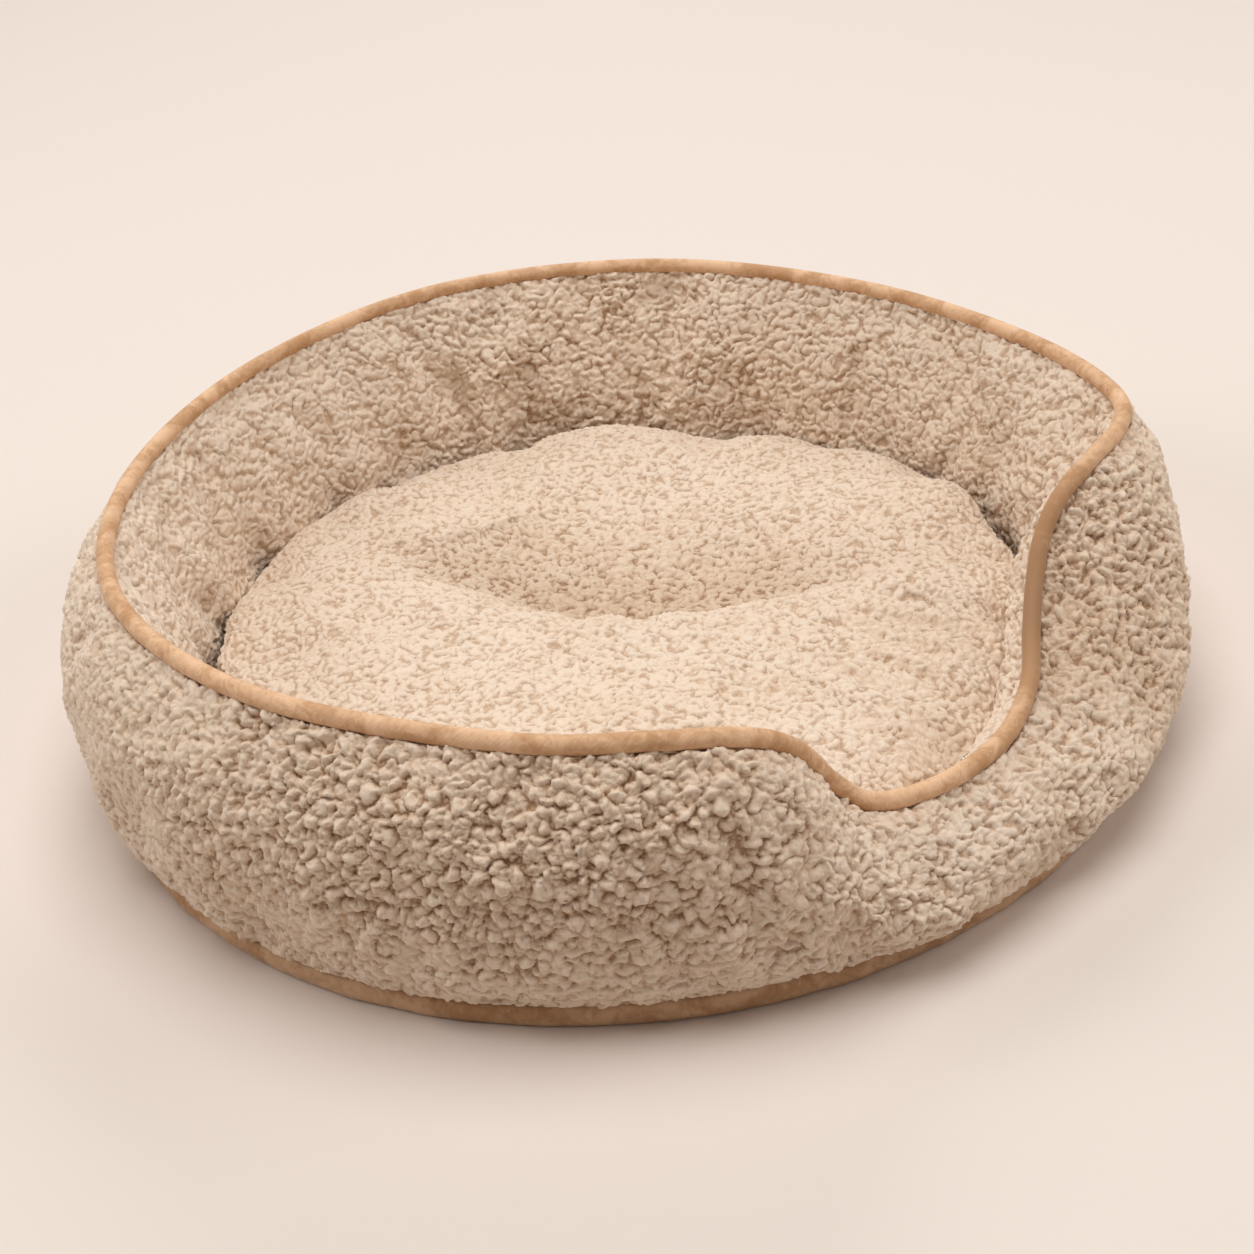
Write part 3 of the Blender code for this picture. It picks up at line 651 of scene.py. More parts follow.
# ---- Wall ----
WALL_BULGE = 0.3125         # the wall's widest radius before its pile
BULGE_SWING = 0.004
BULGE_ANGLE = -40.0
WALL_ROUNDNESS = 1.85
WALL_FOOT = 0.2380
FOOT_OVERHANG = 0.0085
INNER_LEAN = 1.6
SEAT_SIDE = 0.0041          # where the fleece reaches the piping, sideways from its centre line
SEAT_BELOW = 0.0028         # and below it
TUCK_SIDE = 0.0016          # where it is tucked in under the piping
TUCK_BELOW = 0.0042
SHOULDER_ANGLE = -78.0      # beside the entrance the wall bulges inwards just below its piping
SHOULDER_SPREAD = 25.0
SHOULDER_DEPTH = 0.0085
SHELL_BACK = 0.006

# Soft creases: angle, height, lean in degrees per metre, width in degrees, depth, least and most height
OUTER_CREASES = (
    (227.5, 0.080, -40.0, 1.3, 0.0022, 0.030, 0.125), (232.5, 0.070, 60.0, 1.2, 0.0024, 0.030, 0.105),
    (237.0, 0.060, 110.0, 1.4, 0.0020, 0.025, 0.080), (222.0, 0.060, -20.0, 1.6, 0.0016, 0.020, 0.110),
    (279.0, 0.085, 330.0, 1.5, 0.0030, 0.045, 0.135), (284.5, 0.080, 260.0, 1.3, 0.0022, 0.030, 0.120),
    (290.5, 0.075, 180.0, 1.8, 0.0022, 0.030, 0.125), (300.0, 0.080, 60.0, 2.0, 0.0016, 0.030, 0.130),
    (271.0, 0.050, 200.0, 1.6, 0.0018, 0.020, 0.075), (200.0, 0.100, 30.0, 2.4, 0.0014, 0.060, 0.130),
    (186.0, 0.095, -30.0, 2.2, 0.0014, 0.060, 0.130), (168.0, 0.095, 10.0, 2.6, 0.0012, 0.060, 0.130),
)
INNER_CREASES = (
    (34.0, 0.080, 20.0, 2.2, 0.0042, 0.030, 0.135), (52.5, 0.060, -40.0, 2.4, 0.0048, 0.020, 0.110),
    (43.0, 0.050, 30.0, 2.0, 0.0022, 0.020, 0.080), (64.0, 0.060, -30.0, 2.6, 0.0026, 0.020, 0.110),
    (78.0, 0.060, 0.0, 3.0, 0.0020, 0.020, 0.100), (18.0, 0.060, 30.0, 2.6, 0.0022, 0.020, 0.100),
    (104.0, 0.060, 0.0, 3.4, 0.0020, 0.020, 0.110), (-22.0, 0.070, 60.0, 2.4, 0.0024, 0.030, 0.110),
)


def wall_section(rim, outer_steps, inner_steps):
    """Rows of points round the wall's section: up the outer face, under the piping, down the inner face."""
    angle, radius, height = rim.angle, rim.radius, rim.height
    facing = np.maximum(np.einsum("ij,ij->i", rim.side, polar(angle, 1.0, 0.0)), 0.6)
    level = np.maximum(rim.up[:, 2], 0.6)
    widest = WALL_BULGE + BULGE_SWING * np.cos(angle - math.radians(BULGE_ANGLE))
    middle = 0.5 * height
    power = 2.0 / WALL_ROUNDNESS
    seat_radius = radius + SEAT_SIDE / facing
    seat_height = height - SEAT_BELOW / level
    rows = []
    lower = outer_steps // 3
    for turn in np.linspace(0.0, math.pi / 2.0, lower, endpoint=False):
        rows.append(polar(
            angle,
            BASE_RADIUS + (widest - BASE_RADIUS) * math.sin(turn) ** power,
            middle - (middle - WALL_BOTTOM) * math.cos(turn) ** power,
        ))
    upper = outer_steps - lower
    for turn in np.linspace(0.0, math.pi / 2.0, upper, endpoint=False):
        rows.append(polar(
            angle,
            seat_radius + (widest - seat_radius) * math.cos(turn) ** power,
            middle + (seat_height - middle) * math.sin(turn) ** power,
        ))
    rows.append(rim.beside(SEAT_SIDE, -SEAT_BELOW))
    rows.append(rim.beside(TUCK_SIDE, -TUCK_BELOW))
    outer_rows = len(rows)
    rows.append(rim.beside(-TUCK_SIDE, -TUCK_BELOW))
    rows.append(rim.beside(-SEAT_SIDE, -SEAT_BELOW))
    foot = np.minimum(WALL_FOOT, radius - FOOT_OVERHANG)
    inner_radius = radius - SEAT_SIDE / facing
    shoulder = SHOULDER_DEPTH * bump(np.degrees(angle), SHOULDER_ANGLE, SHOULDER_SPREAD)
    for t in np.linspace(1.0, 0.0, inner_steps)[1:]:
        spread = foot + (inner_radius - foot) * t ** INNER_LEAN - shoulder * 12.2 * t ** 4 * (1.0 - t)
        rows.append(polar(angle, spread, WALL_BOTTOM + (seat_height - WALL_BOTTOM) * t))
    rows.append(polar(angle, 0.5 * (foot + BASE_RADIUS), np.full_like(angle, WALL_BOTTOM)))
    return np.array(rows), outer_rows


def wall_faces():
    """Inflates the closed wall once, and returns the outer face's and the inner face's rows."""
    rim = Rim(192)
    rows, outer_rows = wall_section(rim, 17, 15)
    body = skin("wall_body", rows)
    pinned = np.zeros(rows.shape[:2], bool)
    pinned[[0, outer_rows - 2, outer_rows - 1, outer_rows, outer_rows + 1, -2, -1]] = True
    moved = inflate(body, pinned.ravel(), 4.0, 0.014, 0.005).reshape(rows.shape)
    return moved[:outer_rows], moved[outer_rows:-1]


def crease_depth(points, creases):
    """How far soft creases sink a surface."""
    angle, height = heading(points), points[..., 2]
    total = np.zeros_like(angle)
    for centre, level, lean, width, depth, low, high in creases:
        away = turned(angle - lean * (height - level), centre)
        edge = np.clip(np.minimum(height - low, high - height) / 0.02, 0.0, 1.0)
        edge = edge * edge * (3.0 - 2.0 * edge)
        shape = np.exp(-(away / width) ** 2) - 0.35 * np.exp(-((np.abs(away) - 2.1 * width) / width) ** 2)
        total += depth * shape * edge
    return total


def fleece_shell(name, face, rows, columns, creases, sign, material, settings, knob, hollow):
    """Respaces a face finely, sinks its creases, closes it with a coarse back and raises its pile."""
    face = even_rows(open_rows(face, 4 * len(face)), rows)
    face = periodic(face.transpose(1, 0, 2), columns).transpose(1, 0, 2)
    flat = face[rows // 2] * (1.0, 1.0, 0.0)
    outward = flat / np.linalg.norm(flat, axis=1)[:, None]
    edge = np.linspace(0.0, 1.0, rows)
    free = np.clip(np.minimum(edge, 1.0 - edge) / 0.10, 0.0, 1.0)[:, None]
    swell = 0.0011 * drift(face, 51, 0.075) + 0.0005 * drift(face, 52, 0.030)
    face = face + (sign * free * (swell - crease_depth(face, creases)))[..., None] * outward
    hidden = -sign * outward
    back = [
        face[-1] - (0.0, 0.0, SHELL_BACK),
        face[rows // 2] + hidden * SHELL_BACK,
        face[0] + hidden * SHELL_BACK + (0.0, 0.0, 0.002),
    ]
    piece = skin(name, np.concatenate([face, np.array(back)]))
    cover = np.zeros((rows + 3, columns))
    cover[:rows] = np.clip(np.minimum(edge, 1.0 - edge) / 0.012, 0.45, 1.0)[:, None]
    set_values(piece, "cover", cover)
    set_values(piece, "knob", np.concatenate([knob(face), np.zeros((3, columns))]))
    # Painted shade and painted light for the fleece colour, from the given function.
    set_values(piece, "hollow", np.concatenate([hollow(face), np.zeros((3, columns))]))
    return run_tree(piece, bpy.data.node_groups.get("fleece_pile") or pile_tree(), {
        "Clump": settings.wall_clump, "Height": settings.wall_pile, "Material": material,
    })


def outer_knobs(face):
    """Bigger, looser clumps high on the front of the wall, and a finer pile low down and at the sides."""
    loose = bump(heading(face), 203.0, 30.0) + 0.9 * bump(heading(face), 290.0, 15.0)
    high = np.clip((face[..., 2] - 0.030) / 0.045, 0.0, 1.0)
    return np.clip(0.24 + 0.90 * loose * high + 0.10 * drift(face, 61, 0.06), 0.0, 1.0)


def inner_knobs(face):
    """Bigger clumps round the folds at the back of the bed."""
    return np.clip(0.10 + 0.50 * bump(heading(face), 43.0, 20.0) + 0.10 * drift(face, 62, 0.06), 0.0, 1.0)


def outer_hollow(face):
    """Painted shade high on the wall beside the entrance, and painted light on its left."""
    high = np.clip((face[..., 2] - 0.045) / 0.030, 0.0, 1.0)
    return 0.75 * bump(heading(face), 276.0, 13.0) * high - 0.45 * bump(heading(face), 140.0, 40.0)


def inner_hollow(face):
    """A little painted shade on the inner face round +X, and painted light on its left."""
    return 0.15 * bump(heading(face), 0.0, 40.0) - 0.75 * bump(heading(face), 130.0, 60.0)


def make_wall(settings):
    outer, inner = wall_faces()
    step = settings.grid * 1.0
    material = fleece("fleece_wall", settings, settings.wall_clump)
    for name, face, sign, long, tall, creases, knob, hollow, nodes, slot in (
        ("outer_fleece", outer, 1.0, 1.96, 0.187, OUTER_CREASES, outer_knobs, outer_hollow,
            ("outer_wall_cover", "wall_filling"), "sherpa_outer"),
        ("inner_fleece", inner[::-1], -1.0, 1.68, 0.152, INNER_CREASES, inner_knobs, inner_hollow,
            ("inner_wall_cover",), "sherpa_inner"),
    ):
        piece = fleece_shell(
            name, face, round(tall / step), round(long / step), creases, sign, material, settings,
            knob, hollow)
        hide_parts(*nodes)
        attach(piece, "bed_shell")


# ---- Paths ----
def path_object(name, points, closed):
    """A line of points as a mesh of edges, to sweep or repeat along."""
    count = len(points)
    edges = [(i, i + 1) for i in range(count - 1)] + ([(count - 1, 0)] if closed else [])
    mesh = bpy.data.meshes.new(name)
    mesh.from_pydata([tuple(point) for point in points], edges, [])
    made = bpy.data.objects.new(name, mesh)
    bpy.context.scene.collection.objects.link(made)
    return made


def sweep_tree():
    """Sweeps a round section along a path, swelling by the path's own "swell", with a UV map in metres."""
    tree, given, result = geometry_tree("sweep", (
        ("Radius", "NodeSocketFloat", 0.005),
        ("Sides", "NodeSocketInt", 18),
        ("Material", "NodeSocketMaterial", None),
    ))
    curve = add_node(tree, "GeometryNodeMeshToCurve", Mesh=given.outputs["Geometry"]).outputs[0]
    swell = stored(tree, "swell")
    curve = add_node(tree, "GeometryNodeSetCurveRadius", Curve=curve, Radius=swell).outputs[0]
    length = tree.nodes.new("GeometryNodeSplineParameter").outputs["Length"]
    curve = add_node(
        tree, "GeometryNodeStoreNamedAttribute", {"data_type": "FLOAT", "domain": "POINT"},
        Geometry=curve, Name="along", Value=length).outputs[0]
    ring = add_node(tree, "GeometryNodeCurvePrimitiveCircle", Radius=given.outputs["Radius"])
    connect(tree, given.outputs["Sides"], ring.inputs[0])
    factor = tree.nodes.new("GeometryNodeSplineParameter").outputs["Factor"]
    fold = maths(tree, "ABSOLUTE", maths(tree, "SUBTRACT", factor, 0.5))
    girth = maths(tree, "MULTIPLY", maths(tree, "MULTIPLY", fold, 2.0 * math.pi), given.outputs["Radius"])
    ring = add_node(
        tree, "GeometryNodeStoreNamedAttribute", {"data_type": "FLOAT", "domain": "POINT"},
        Geometry=ring.outputs[0], Name="girth", Value=girth).outputs[0]
    tube = tree.nodes.new("GeometryNodeCurveToMesh")
    tree.links.new(curve, tube.inputs[0])
    tree.links.new(ring, tube.inputs[1])
    along = stored(tree, "along")
    across = stored(tree, "girth")
    flat = add_node(tree, "ShaderNodeCombineXYZ", X=along, Y=across).outputs[0]
    mapped = add_node(
        tree, "GeometryNodeStoreNamedAttribute", {"data_type": "FLOAT2", "domain": "CORNER"},
        Geometry=tube.outputs[0], Name="cloth", Value=flat)
    smooth = add_node(tree, "GeometryNodeSetShadeSmooth", Geometry=mapped.outputs[0])
    plain = add_node(tree, "GeometryNodeRealizeInstances", Geometry=smooth.outputs[0])
    dressed = add_node(
        tree, "GeometryNodeSetMaterial", Geometry=plain.outputs[0], Material=given.outputs["Material"])
    tree.links.new(dressed.outputs[0], result.inputs[0])
    return tree


def repeat_tree():
    """Repeats a small rounded bead along a path: a stitch, or one turn of a zip's coil."""
    tree, given, result = geometry_tree("repeat_along", (
        ("Spacing", "NodeSocketFloat", 0.004),
        ("Size", "NodeSocketVector", (0.003, 0.001, 0.001)),
        ("Tilt", "NodeSocketFloat", 0.0),
        ("Material", "NodeSocketMaterial", None),
    ))
    curve = add_node(tree, "GeometryNodeMeshToCurve", Mesh=given.outputs["Geometry"]).outputs[0]
    spaced = add_node(
        tree, "GeometryNodeResampleCurve", {"mode": "LENGTH"}, Curve=curve, Length=given.outputs["Spacing"])
    tangent = tree.nodes.new("GeometryNodeInputTangent").outputs[0]
    turn = add_node(tree, "FunctionNodeAlignRotationToVector", {"axis": "X"}, Vector=tangent).outputs[0]
    tilt = add_node(
        tree, "FunctionNodeAxisAngleToRotation", Axis=(0.0, 1.0, 0.0), Angle=given.outputs["Tilt"]).outputs[0]
    turned = tree.nodes.new("FunctionNodeRotateRotation")
    turned.rotation_space = "LOCAL"
    tree.links.new(turn, turned.inputs[0])
    tree.links.new(tilt, turned.inputs[1])
    bead = add_node(tree, "GeometryNodeMeshUVSphere", Segments=8, Rings=5, Radius=0.5)
    beads = add_node(
        tree, "GeometryNodeInstanceOnPoints", Points=spaced.outputs[0], Instance=bead.outputs[0],
        Rotation=turned.outputs[0], Scale=given.outputs["Size"])
    plain = add_node(tree, "GeometryNodeRealizeInstances", Geometry=beads.outputs[0])
    smooth = add_node(tree, "GeometryNodeSetShadeSmooth", Geometry=plain.outputs[0])
    dressed = add_node(
        tree, "GeometryNodeSetMaterial", Geometry=smooth.outputs[0], Material=given.outputs["Material"])
    tree.links.new(dressed.outputs[0], result.inputs[0])
    return tree


def bead_row(name, points, closed, spacing, size_of_bead, tilt, material):
    """A row of stitches or coil turns along a line."""
    piece = path_object(name, points, closed)
    return run_tree(piece, bpy.data.node_groups.get("repeat_along") or repeat_tree(), {
        "Spacing": spacing, "Size": size_of_bead, "Tilt": tilt, "Material": material,
    })


# ---- Piping ----
CLIMB_ANGLE = -79.0         # where the rim climbs out of the entrance the suede gets painted shade
CLIMB_SPREAD = 13.0


def make_piping(settings):
    """Suede tape folded round a cord, with small gathers where the rim turns tightly."""
    rim = Rim(1500)
    bend = np.linalg.norm(np.roll(rim.tangent, -6, 0) - np.roll(rim.tangent, 6, 0), axis=1)
    bend = np.convolve(np.tile(bend, 3), np.ones(41) / 41, "same")[len(bend):2 * len(bend)]
    tight = bend / bend.max()
    phase = rim.along / 0.0046 * 2.0 * math.pi + 2.0 * smooth_noise(rim.angle, 4, 9)
    gather = 0.045 * np.sin(phase) * tight
    swell = 1.0 + 0.022 * drift(rim.points, 8, 0.06) + 0.012 * drift(rim.points, 9, 0.014) + gather
    piece = path_object("rim_piping", rim.points, True)
    set_values(piece, "swell", swell)
    # Painted shade on the piping where the rim climbs out of the entrance, stored as the nap attribute.
    set_values(piece, "nap", bump(np.degrees(rim.angle), CLIMB_ANGLE, CLIMB_SPREAD))
    run_tree(piece, sweep_tree(), {
        "Radius": settings.piping_radius, "Sides": 20, "Material": suede("suede_piping", settings),
    })
    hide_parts("rim_piping_sleeve", "rim_piping_cord")
    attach(piece, "bed_shell")


# ---- Base ----
def lathe(name, outline, material, columns=900, ripple=None):
    """Turns a closed (radius, height) outline into a ring of cloth, with a UV map in metres."""
    angle = np.arange(columns) * 2.0 * math.pi / columns
    wave = np.zeros_like(angle) if ripple is None else ripple(angle)
    points = np.array([
        polar(angle, radius + soft * wave, np.full_like(angle, height)) for radius, height, soft in outline
    ])
    piece = skin(name, points)
    steps = [math.dist(a[:2], b[:2]) for a, b in zip(outline, outline[1:])]
    travel = np.concatenate([[0.0], np.cumsum(steps)])
    along = np.abs(angle - math.pi) * outline[0][0]
    shape = points.shape[:2]
    set_uv(piece, np.broadcast_to(along, shape), np.broadcast_to(travel[:, None], shape))
    piece.data.materials.append(material)
    return piece


def cloth_disc(name, radius, bottom, top, wave, seed, material):
    """A round piece of cloth with a straight edge, lying slightly uneven."""
    columns, rings = 160, 34
    angle = np.arange(columns) * 2.0 * math.pi / columns
    steps = radius * np.linspace(1.0, 0.0, rings + 1)[:-1]
    upper = np.array([polar(angle, r, np.full_like(angle, top)) for r in steps])
    lower = np.array([polar(angle, r, np.full_like(angle, bottom)) for r in steps[::-1]])
    ease = np.clip((radius - steps) / 0.02, 0.0, 1.0)[:, None]
    lift = wave * ease * drift(upper * (1.0, 1.0, 0.0), seed, 0.09)
    upper[..., 2] += lift
    lower[..., 2] += np.clip(lift[::-1], 0.0, None)
    points = np.concatenate([lower, upper])
    centres = np.array([[0.0, 0.0, bottom], [0.0, 0.0, top]])
    rows = len(points)
    first = np.arange(columns)
    last = (rows - 1) * columns + first
    low, high = rows * columns, rows * columns + 1
    fans = [
        np.stack([np.roll(first, -1), first, np.full(columns, low)], axis=-1),
        np.stack([last, np.roll(last, -1), np.full(columns, high)], axis=-1),
    ]
    piece = skin(name, points, close_rows=False, extra_points=centres, extra_faces=fans)
    piece.data.materials.append(material)
    return piece


def dots_tree():
    """Adds small rubbery grip dots in rows under a round cloth."""
    tree, given, result = geometry_tree("grip_dots", (
        ("Radius", "NodeSocketFloat", 0.28),
        ("Spacing", "NodeSocketFloat", 0.014),
        ("Width", "NodeSocketFloat", 0.004),
        ("Depth", "NodeSocketFloat", 0.0006),
        ("Material", "NodeSocketMaterial", None),
    ))
    radius, spacing = given.outputs["Radius"], given.outputs["Spacing"]
    side = maths(tree, "MULTIPLY", radius, 2.0)
    count = maths(tree, "ADD", maths(tree, "DIVIDE", side, spacing), 1.0)
    grid = tree.nodes.new("GeometryNodeMeshGrid")
    for number, value in enumerate((side, side, count, count)):
        connect(tree, value, grid.inputs[number])
    place = tree.nodes.new("GeometryNodeInputPosition").outputs[0]
    parts = add_node(tree, "ShaderNodeSeparateXYZ", Vector=place)
    reach = maths(tree, "SQRT", maths(
        tree, "ADD", maths(tree, "POWER", maths(tree, "ABSOLUTE", parts.outputs[0]), 2.0),
        maths(tree, "POWER", maths(tree, "ABSOLUTE", parts.outputs[1]), 2.0)))
    outside = maths(tree, "GREATER_THAN", reach, radius)
    kept = add_node(
        tree, "GeometryNodeDeleteGeometry", {"domain": "POINT"}, Geometry=grid.outputs[0], Selection=outside)
    half_width, half_depth = (
        maths(tree, "MULTIPLY", given.outputs[name], 0.5) for name in ("Width", "Depth"))
    dot = add_node(
        tree, "GeometryNodeMeshCylinder", Vertices=10, Radius=half_width, Depth=given.outputs["Depth"])
    up = add_node(tree, "ShaderNodeCombineXYZ", Z=half_depth).outputs[0]
    dot = add_node(tree, "GeometryNodeTransform", Geometry=dot.outputs[0], Translation=up)
    dots = add_node(tree, "GeometryNodeInstanceOnPoints", Points=kept.outputs[0], Instance=dot.outputs[0])
    plain = add_node(tree, "GeometryNodeRealizeInstances", Geometry=dots.outputs[0])
    dressed = add_node(
        tree, "GeometryNodeSetMaterial", Geometry=plain.outputs[0], Material=given.outputs["Material"])
    both = tree.nodes.new("GeometryNodeJoinGeometry")
    tree.links.new(dressed.outputs[0], both.inputs[0])
    tree.links.new(given.outputs["Geometry"], both.inputs[0])
    tree.links.new(both.outputs[0], result.inputs[0])
    return tree


def rubber(name):
    """Slightly dusty rubber."""
    material, tree, shader, place = new_material(name)
    dust = noise(tree, place.outputs["Object"], 400.0, 3.0)
    colour = mix_colour(tree, dust, (0.20, 0.15, 0.11), (0.27, 0.21, 0.16))
    tree.links.new(colour, shader.inputs["Base Color"])
    shader.inputs["Roughness"].default_value = 0.6
    return material


def make_base(suede_settings, cloth_settings):
    """Suede strip round the base, the grippy cloth under it and the lining inside the bed."""
    edge = BASE_RADIUS - 0.0007
    low = BASE_LOW.z
    turned_in = 0.2885
    outline = (
        (turned_in, low, 0.0), (edge - 0.0028, low, 0.6), (edge - 0.0010, low + 0.0006, 1.0),
        (edge, low + 0.0022, 1.0), (edge + 0.0006, low + 0.0050, 1.0), (edge + 0.0007, low + 0.0080, 1.0),
        (edge + 0.0001, low + 0.0110, 1.0), (edge - 0.0009, low + 0.0130, 1.0),
        (edge - 0.0028, low + 0.0137, 0.6), (turned_in, low + 0.0137, 0.0), (turned_in, low + 0.0127, 0.0),
        (edge - 0.0030, low + 0.0125, 0.6), (edge - 0.0016, low + 0.0105, 1.0),
        (edge - 0.0012, low + 0.0070, 1.0), (edge - 0.0016, low + 0.0035, 1.0),
        (edge - 0.0032, low + 0.0012, 0.6), (turned_in, low + 0.0010, 0.0),
    )

    def ripple(angle):
        return 0.00035 * smooth_noise(angle, 21, 5) + 0.00022 * smooth_noise(angle, 22, 31)

    # The band's suede is a darker copy of the piping's: painted shade on the base band.
    piece = lathe("base_band_suede", outline, suede("suede_band", suede_settings, 0.80), 1200, ripple)
    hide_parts("base_band")
    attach(piece, "bed_shell")

    radius = LINING_HIGH.x
    under = cloth_disc(
        "base_cloth", radius, 0.0006, 0.0012, 0.0, 71,
        woven("base_cloth", cloth_settings.lining, cloth_settings.thread))
    run_tree(under, dots_tree(), {
        "Radius": radius - 0.008, "Spacing": cloth_settings.dot_gap, "Width": cloth_settings.dot,
        "Depth": 0.0007, "Material": rubber("grip_dots"),
    })
    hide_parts("base_fabric")
    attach(under, "bed_shell")

    pad_low, pad_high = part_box("base_pad")
    pad = cloth_disc(
        "base_wadding", pad_high.x, pad_low.z, pad_high.z, 0.0, 74,
        woven("base_wadding", tinted(cloth_settings.lining, 1.7), 0.0021))
    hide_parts("base_pad")
    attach(pad, "bed_shell")

    lining = cloth_disc(
        "bed_lining", radius, LINING_LOW.z, LINING_HIGH.z - 0.0004, 0.0002, 72,
        woven("bed_lining", tinted(cloth_settings.lining, 0.9), cloth_settings.thread))
    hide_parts("floor_lining")
    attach(lining, "bed_shell")


# ---- Cushion ----
# The puffed top without its dip, from the middle out: share of the cloth, radius, height
CROWN = (
    (0.00, 0.0000, 0.0655), (0.25, 0.0630, 0.0660), (0.50, 0.1260, 0.0668), (0.68, 0.1690, 0.0665),
    (0.78, 0.1920, 0.0645), (0.85, 0.2085, 0.0612), (0.90, 0.2200, 0.0568), (0.935, 0.2280, 0.0522),
    (0.962, 0.2328, 0.0476), (0.982, 0.2318, 0.0430), (1.00, 0.2255, 0.0405),
)
DIP_CENTRE = (0.026, 0.010)
DIP_DEPTH = 0.0150
DIP_TOWARDS = 216.0        # the side where it drops steeply, in degrees from +X
DIP_STEEP = 0.058          # spread of the dip on that side
DIP_GENTLE = 0.105         # and on the far side
NEAR_LOBE = (-0.085, -0.045, 0.0050, 0.070)    # x, y, height and spread of the lobe before the dip
SWELL_ANGLE = -105.0       # where the cushion swells out into the entrance
SWELL_SPREAD = 23.0
SWELL_DEPTH = 0.0150
NIP_ANGLE = -68.0           # beside the entrance the wall nips it in
NIP_SPREAD = 13.0
NIP_DEPTH = 0.0035
PRESS_ANGLES = (122.0, -30.0)   # the two sides where the cushion presses against the wall
PRESS_SPREAD = 34.0
PRESS_DEPTH = 0.0048
# Valleys running out of the dip: direction in degrees, length, width, depth
VALLEYS = (
    (100.0, 0.150, 0.016, 0.0036), (-38.0, 0.120, 0.016, 0.0040), (20.0, 0.130, 0.022, 0.0024),
    (160.0, 0.190, 0.016, 0.0030),
)
# The long fold across the near side of the dip: x, y and share of its depth
FOLD = (
    (-0.020, 0.172, 0.00), (-0.045, 0.140, 0.40), (-0.050, 0.100, 0.75), (-0.042, 0.045, 0.95),
    (-0.025, -0.018, 1.00), (0.014, -0.078, 0.90), (0.060, -0.120, 0.60), (0.110, -0.150, 0.20),
    (0.140, -0.160, 0.00),
)
FOLD_DEPTH = 0.0120
# Small pleats at the entrance side: angle, radius where they are deepest, width in degrees, depth
PLEAT_LENGTH = 0.034
PLEATS = (
    (-97.0, 0.185, 1.7, 0.0034), (-90.0, 0.195, 1.5, 0.0034), (-83.5, 0.190, 1.6, 0.0030),
    (-76.5, 0.185, 1.5, 0.0028), (-69.0, 0.180, 1.8, 0.0024), (-105.0, 0.190, 2.0, 0.0024),
    (119.0, 0.185, 2.6, 0.0022), (140.0, 0.190, 2.8, 0.0022), (-135.0, 0.195, 2.8, 0.0016),
)


def cushion_sink(x, y):
    """How far the top sinks below its crown: a dip with a steep near side, valleys and small pleats."""
    ax, ay = x - DIP_CENTRE[0], y - DIP_CENTRE[1]
    away = np.hypot(ax, ay)
    towards = math.radians(DIP_TOWARDS)
    facing = 0.5 + 0.5 * (ax * math.cos(towards) + ay * math.sin(towards)) / np.maximum(away, 1e-6)
    spread = DIP_GENTLE + (DIP_STEEP - DIP_GENTLE) * facing ** 0.7
    sharp = 2.0 + 1.6 * facing
    total = DIP_DEPTH * np.exp(-(away / spread) ** sharp)
    bearing = np.arctan2(ay, ax)
    for direction, length, width, depth in VALLEYS:
        turn = bearing - math.radians(direction)
        along, across = away * np.cos(turn), away * np.sin(turn)
        reach = np.exp(-(np.clip(along - 0.045, 0.0, None) / (length - 0.045)) ** 2)
        reach *= np.clip(along / 0.04, 0.0, 1.0)
        total += depth * reach * np.exp(-(across / width) ** 2)
    return total


def fold_sink(points):
    """The long fold: a raised crest on its near side, a steep drop, then a slow rise to the far side."""
    line = open_rows(np.array(FOLD), 90)
    ahead = np.gradient(line[:, :2], axis=0)
    ahead /= np.linalg.norm(ahead, axis=1)[:, None]
    beyond = np.stack([-ahead[:, 1], ahead[:, 0]], axis=1)
    flat = points[..., :2].reshape(-1, 2)
    nearest = np.empty(len(flat), int)
    for start in range(0, len(flat), 20000):
        block = flat[start:start + 20000]
        nearest[start:start + 20000] = np.argmin(
            ((block[:, None, :] - line[None, :, :2]) ** 2).sum(axis=2), axis=1)
    gap = flat - line[nearest, :2]
    across = (gap * beyond[nearest]).sum(axis=1)
    past = np.abs((gap * ahead[nearest]).sum(axis=1))
    share_here = np.clip(line[nearest, 2], 0.0, 1.0) * np.exp(-(past / 0.02) ** 2)
    drop = np.clip((across + 0.008) / 0.024, 0.0, 1.0)
    drop = drop * drop * (3.0 - 2.0 * drop)
    rise = np.exp(-(np.clip(across - 0.014, 0.0, None) / (0.020 + 0.050 * share_here)) ** 2)
    crest = 0.22 * np.exp(-((across + 0.026) / 0.020) ** 2)
    return (FOLD_DEPTH * share_here * (drop * rise - crest)).reshape(points.shape[:-1])


def pleat_sink(points):
    """Small pleats where the cushion meets the entrance and its left side."""
    radius, angle = np.hypot(points[..., 0], points[..., 1]), heading(points)
    total = np.zeros_like(radius)
    for centre, place, width, depth in PLEATS:
        total += depth * bump(angle, centre, width) * np.exp(-((radius - place) / PLEAT_LENGTH) ** 2)
    return total


def disc_grid(count):
    """A square grid of points mapped on the unit disc."""
    side = np.linspace(-1.0, 1.0, count)
    u, v = np.meshgrid(side, side, indexing="ij")
    return u * np.sqrt(1.0 - 0.5 * v * v), v * np.sqrt(1.0 - 0.5 * u * u)


def border(count):
    """Indices of a square grid's edge, in order."""
    index = np.arange(count * count).reshape(count, count)
    return np.concatenate([index[0, :-1], index[:-1, -1], index[-1, :0:-1], index[:0:-1, 0]])


def square_faces(count):
    index = np.arange(count * count).reshape(count, count)
    return np.stack([index[:-1, :-1], index[1:, :-1], index[1:, 1:], index[:-1, 1:]], axis=-1).reshape(-1, 4)


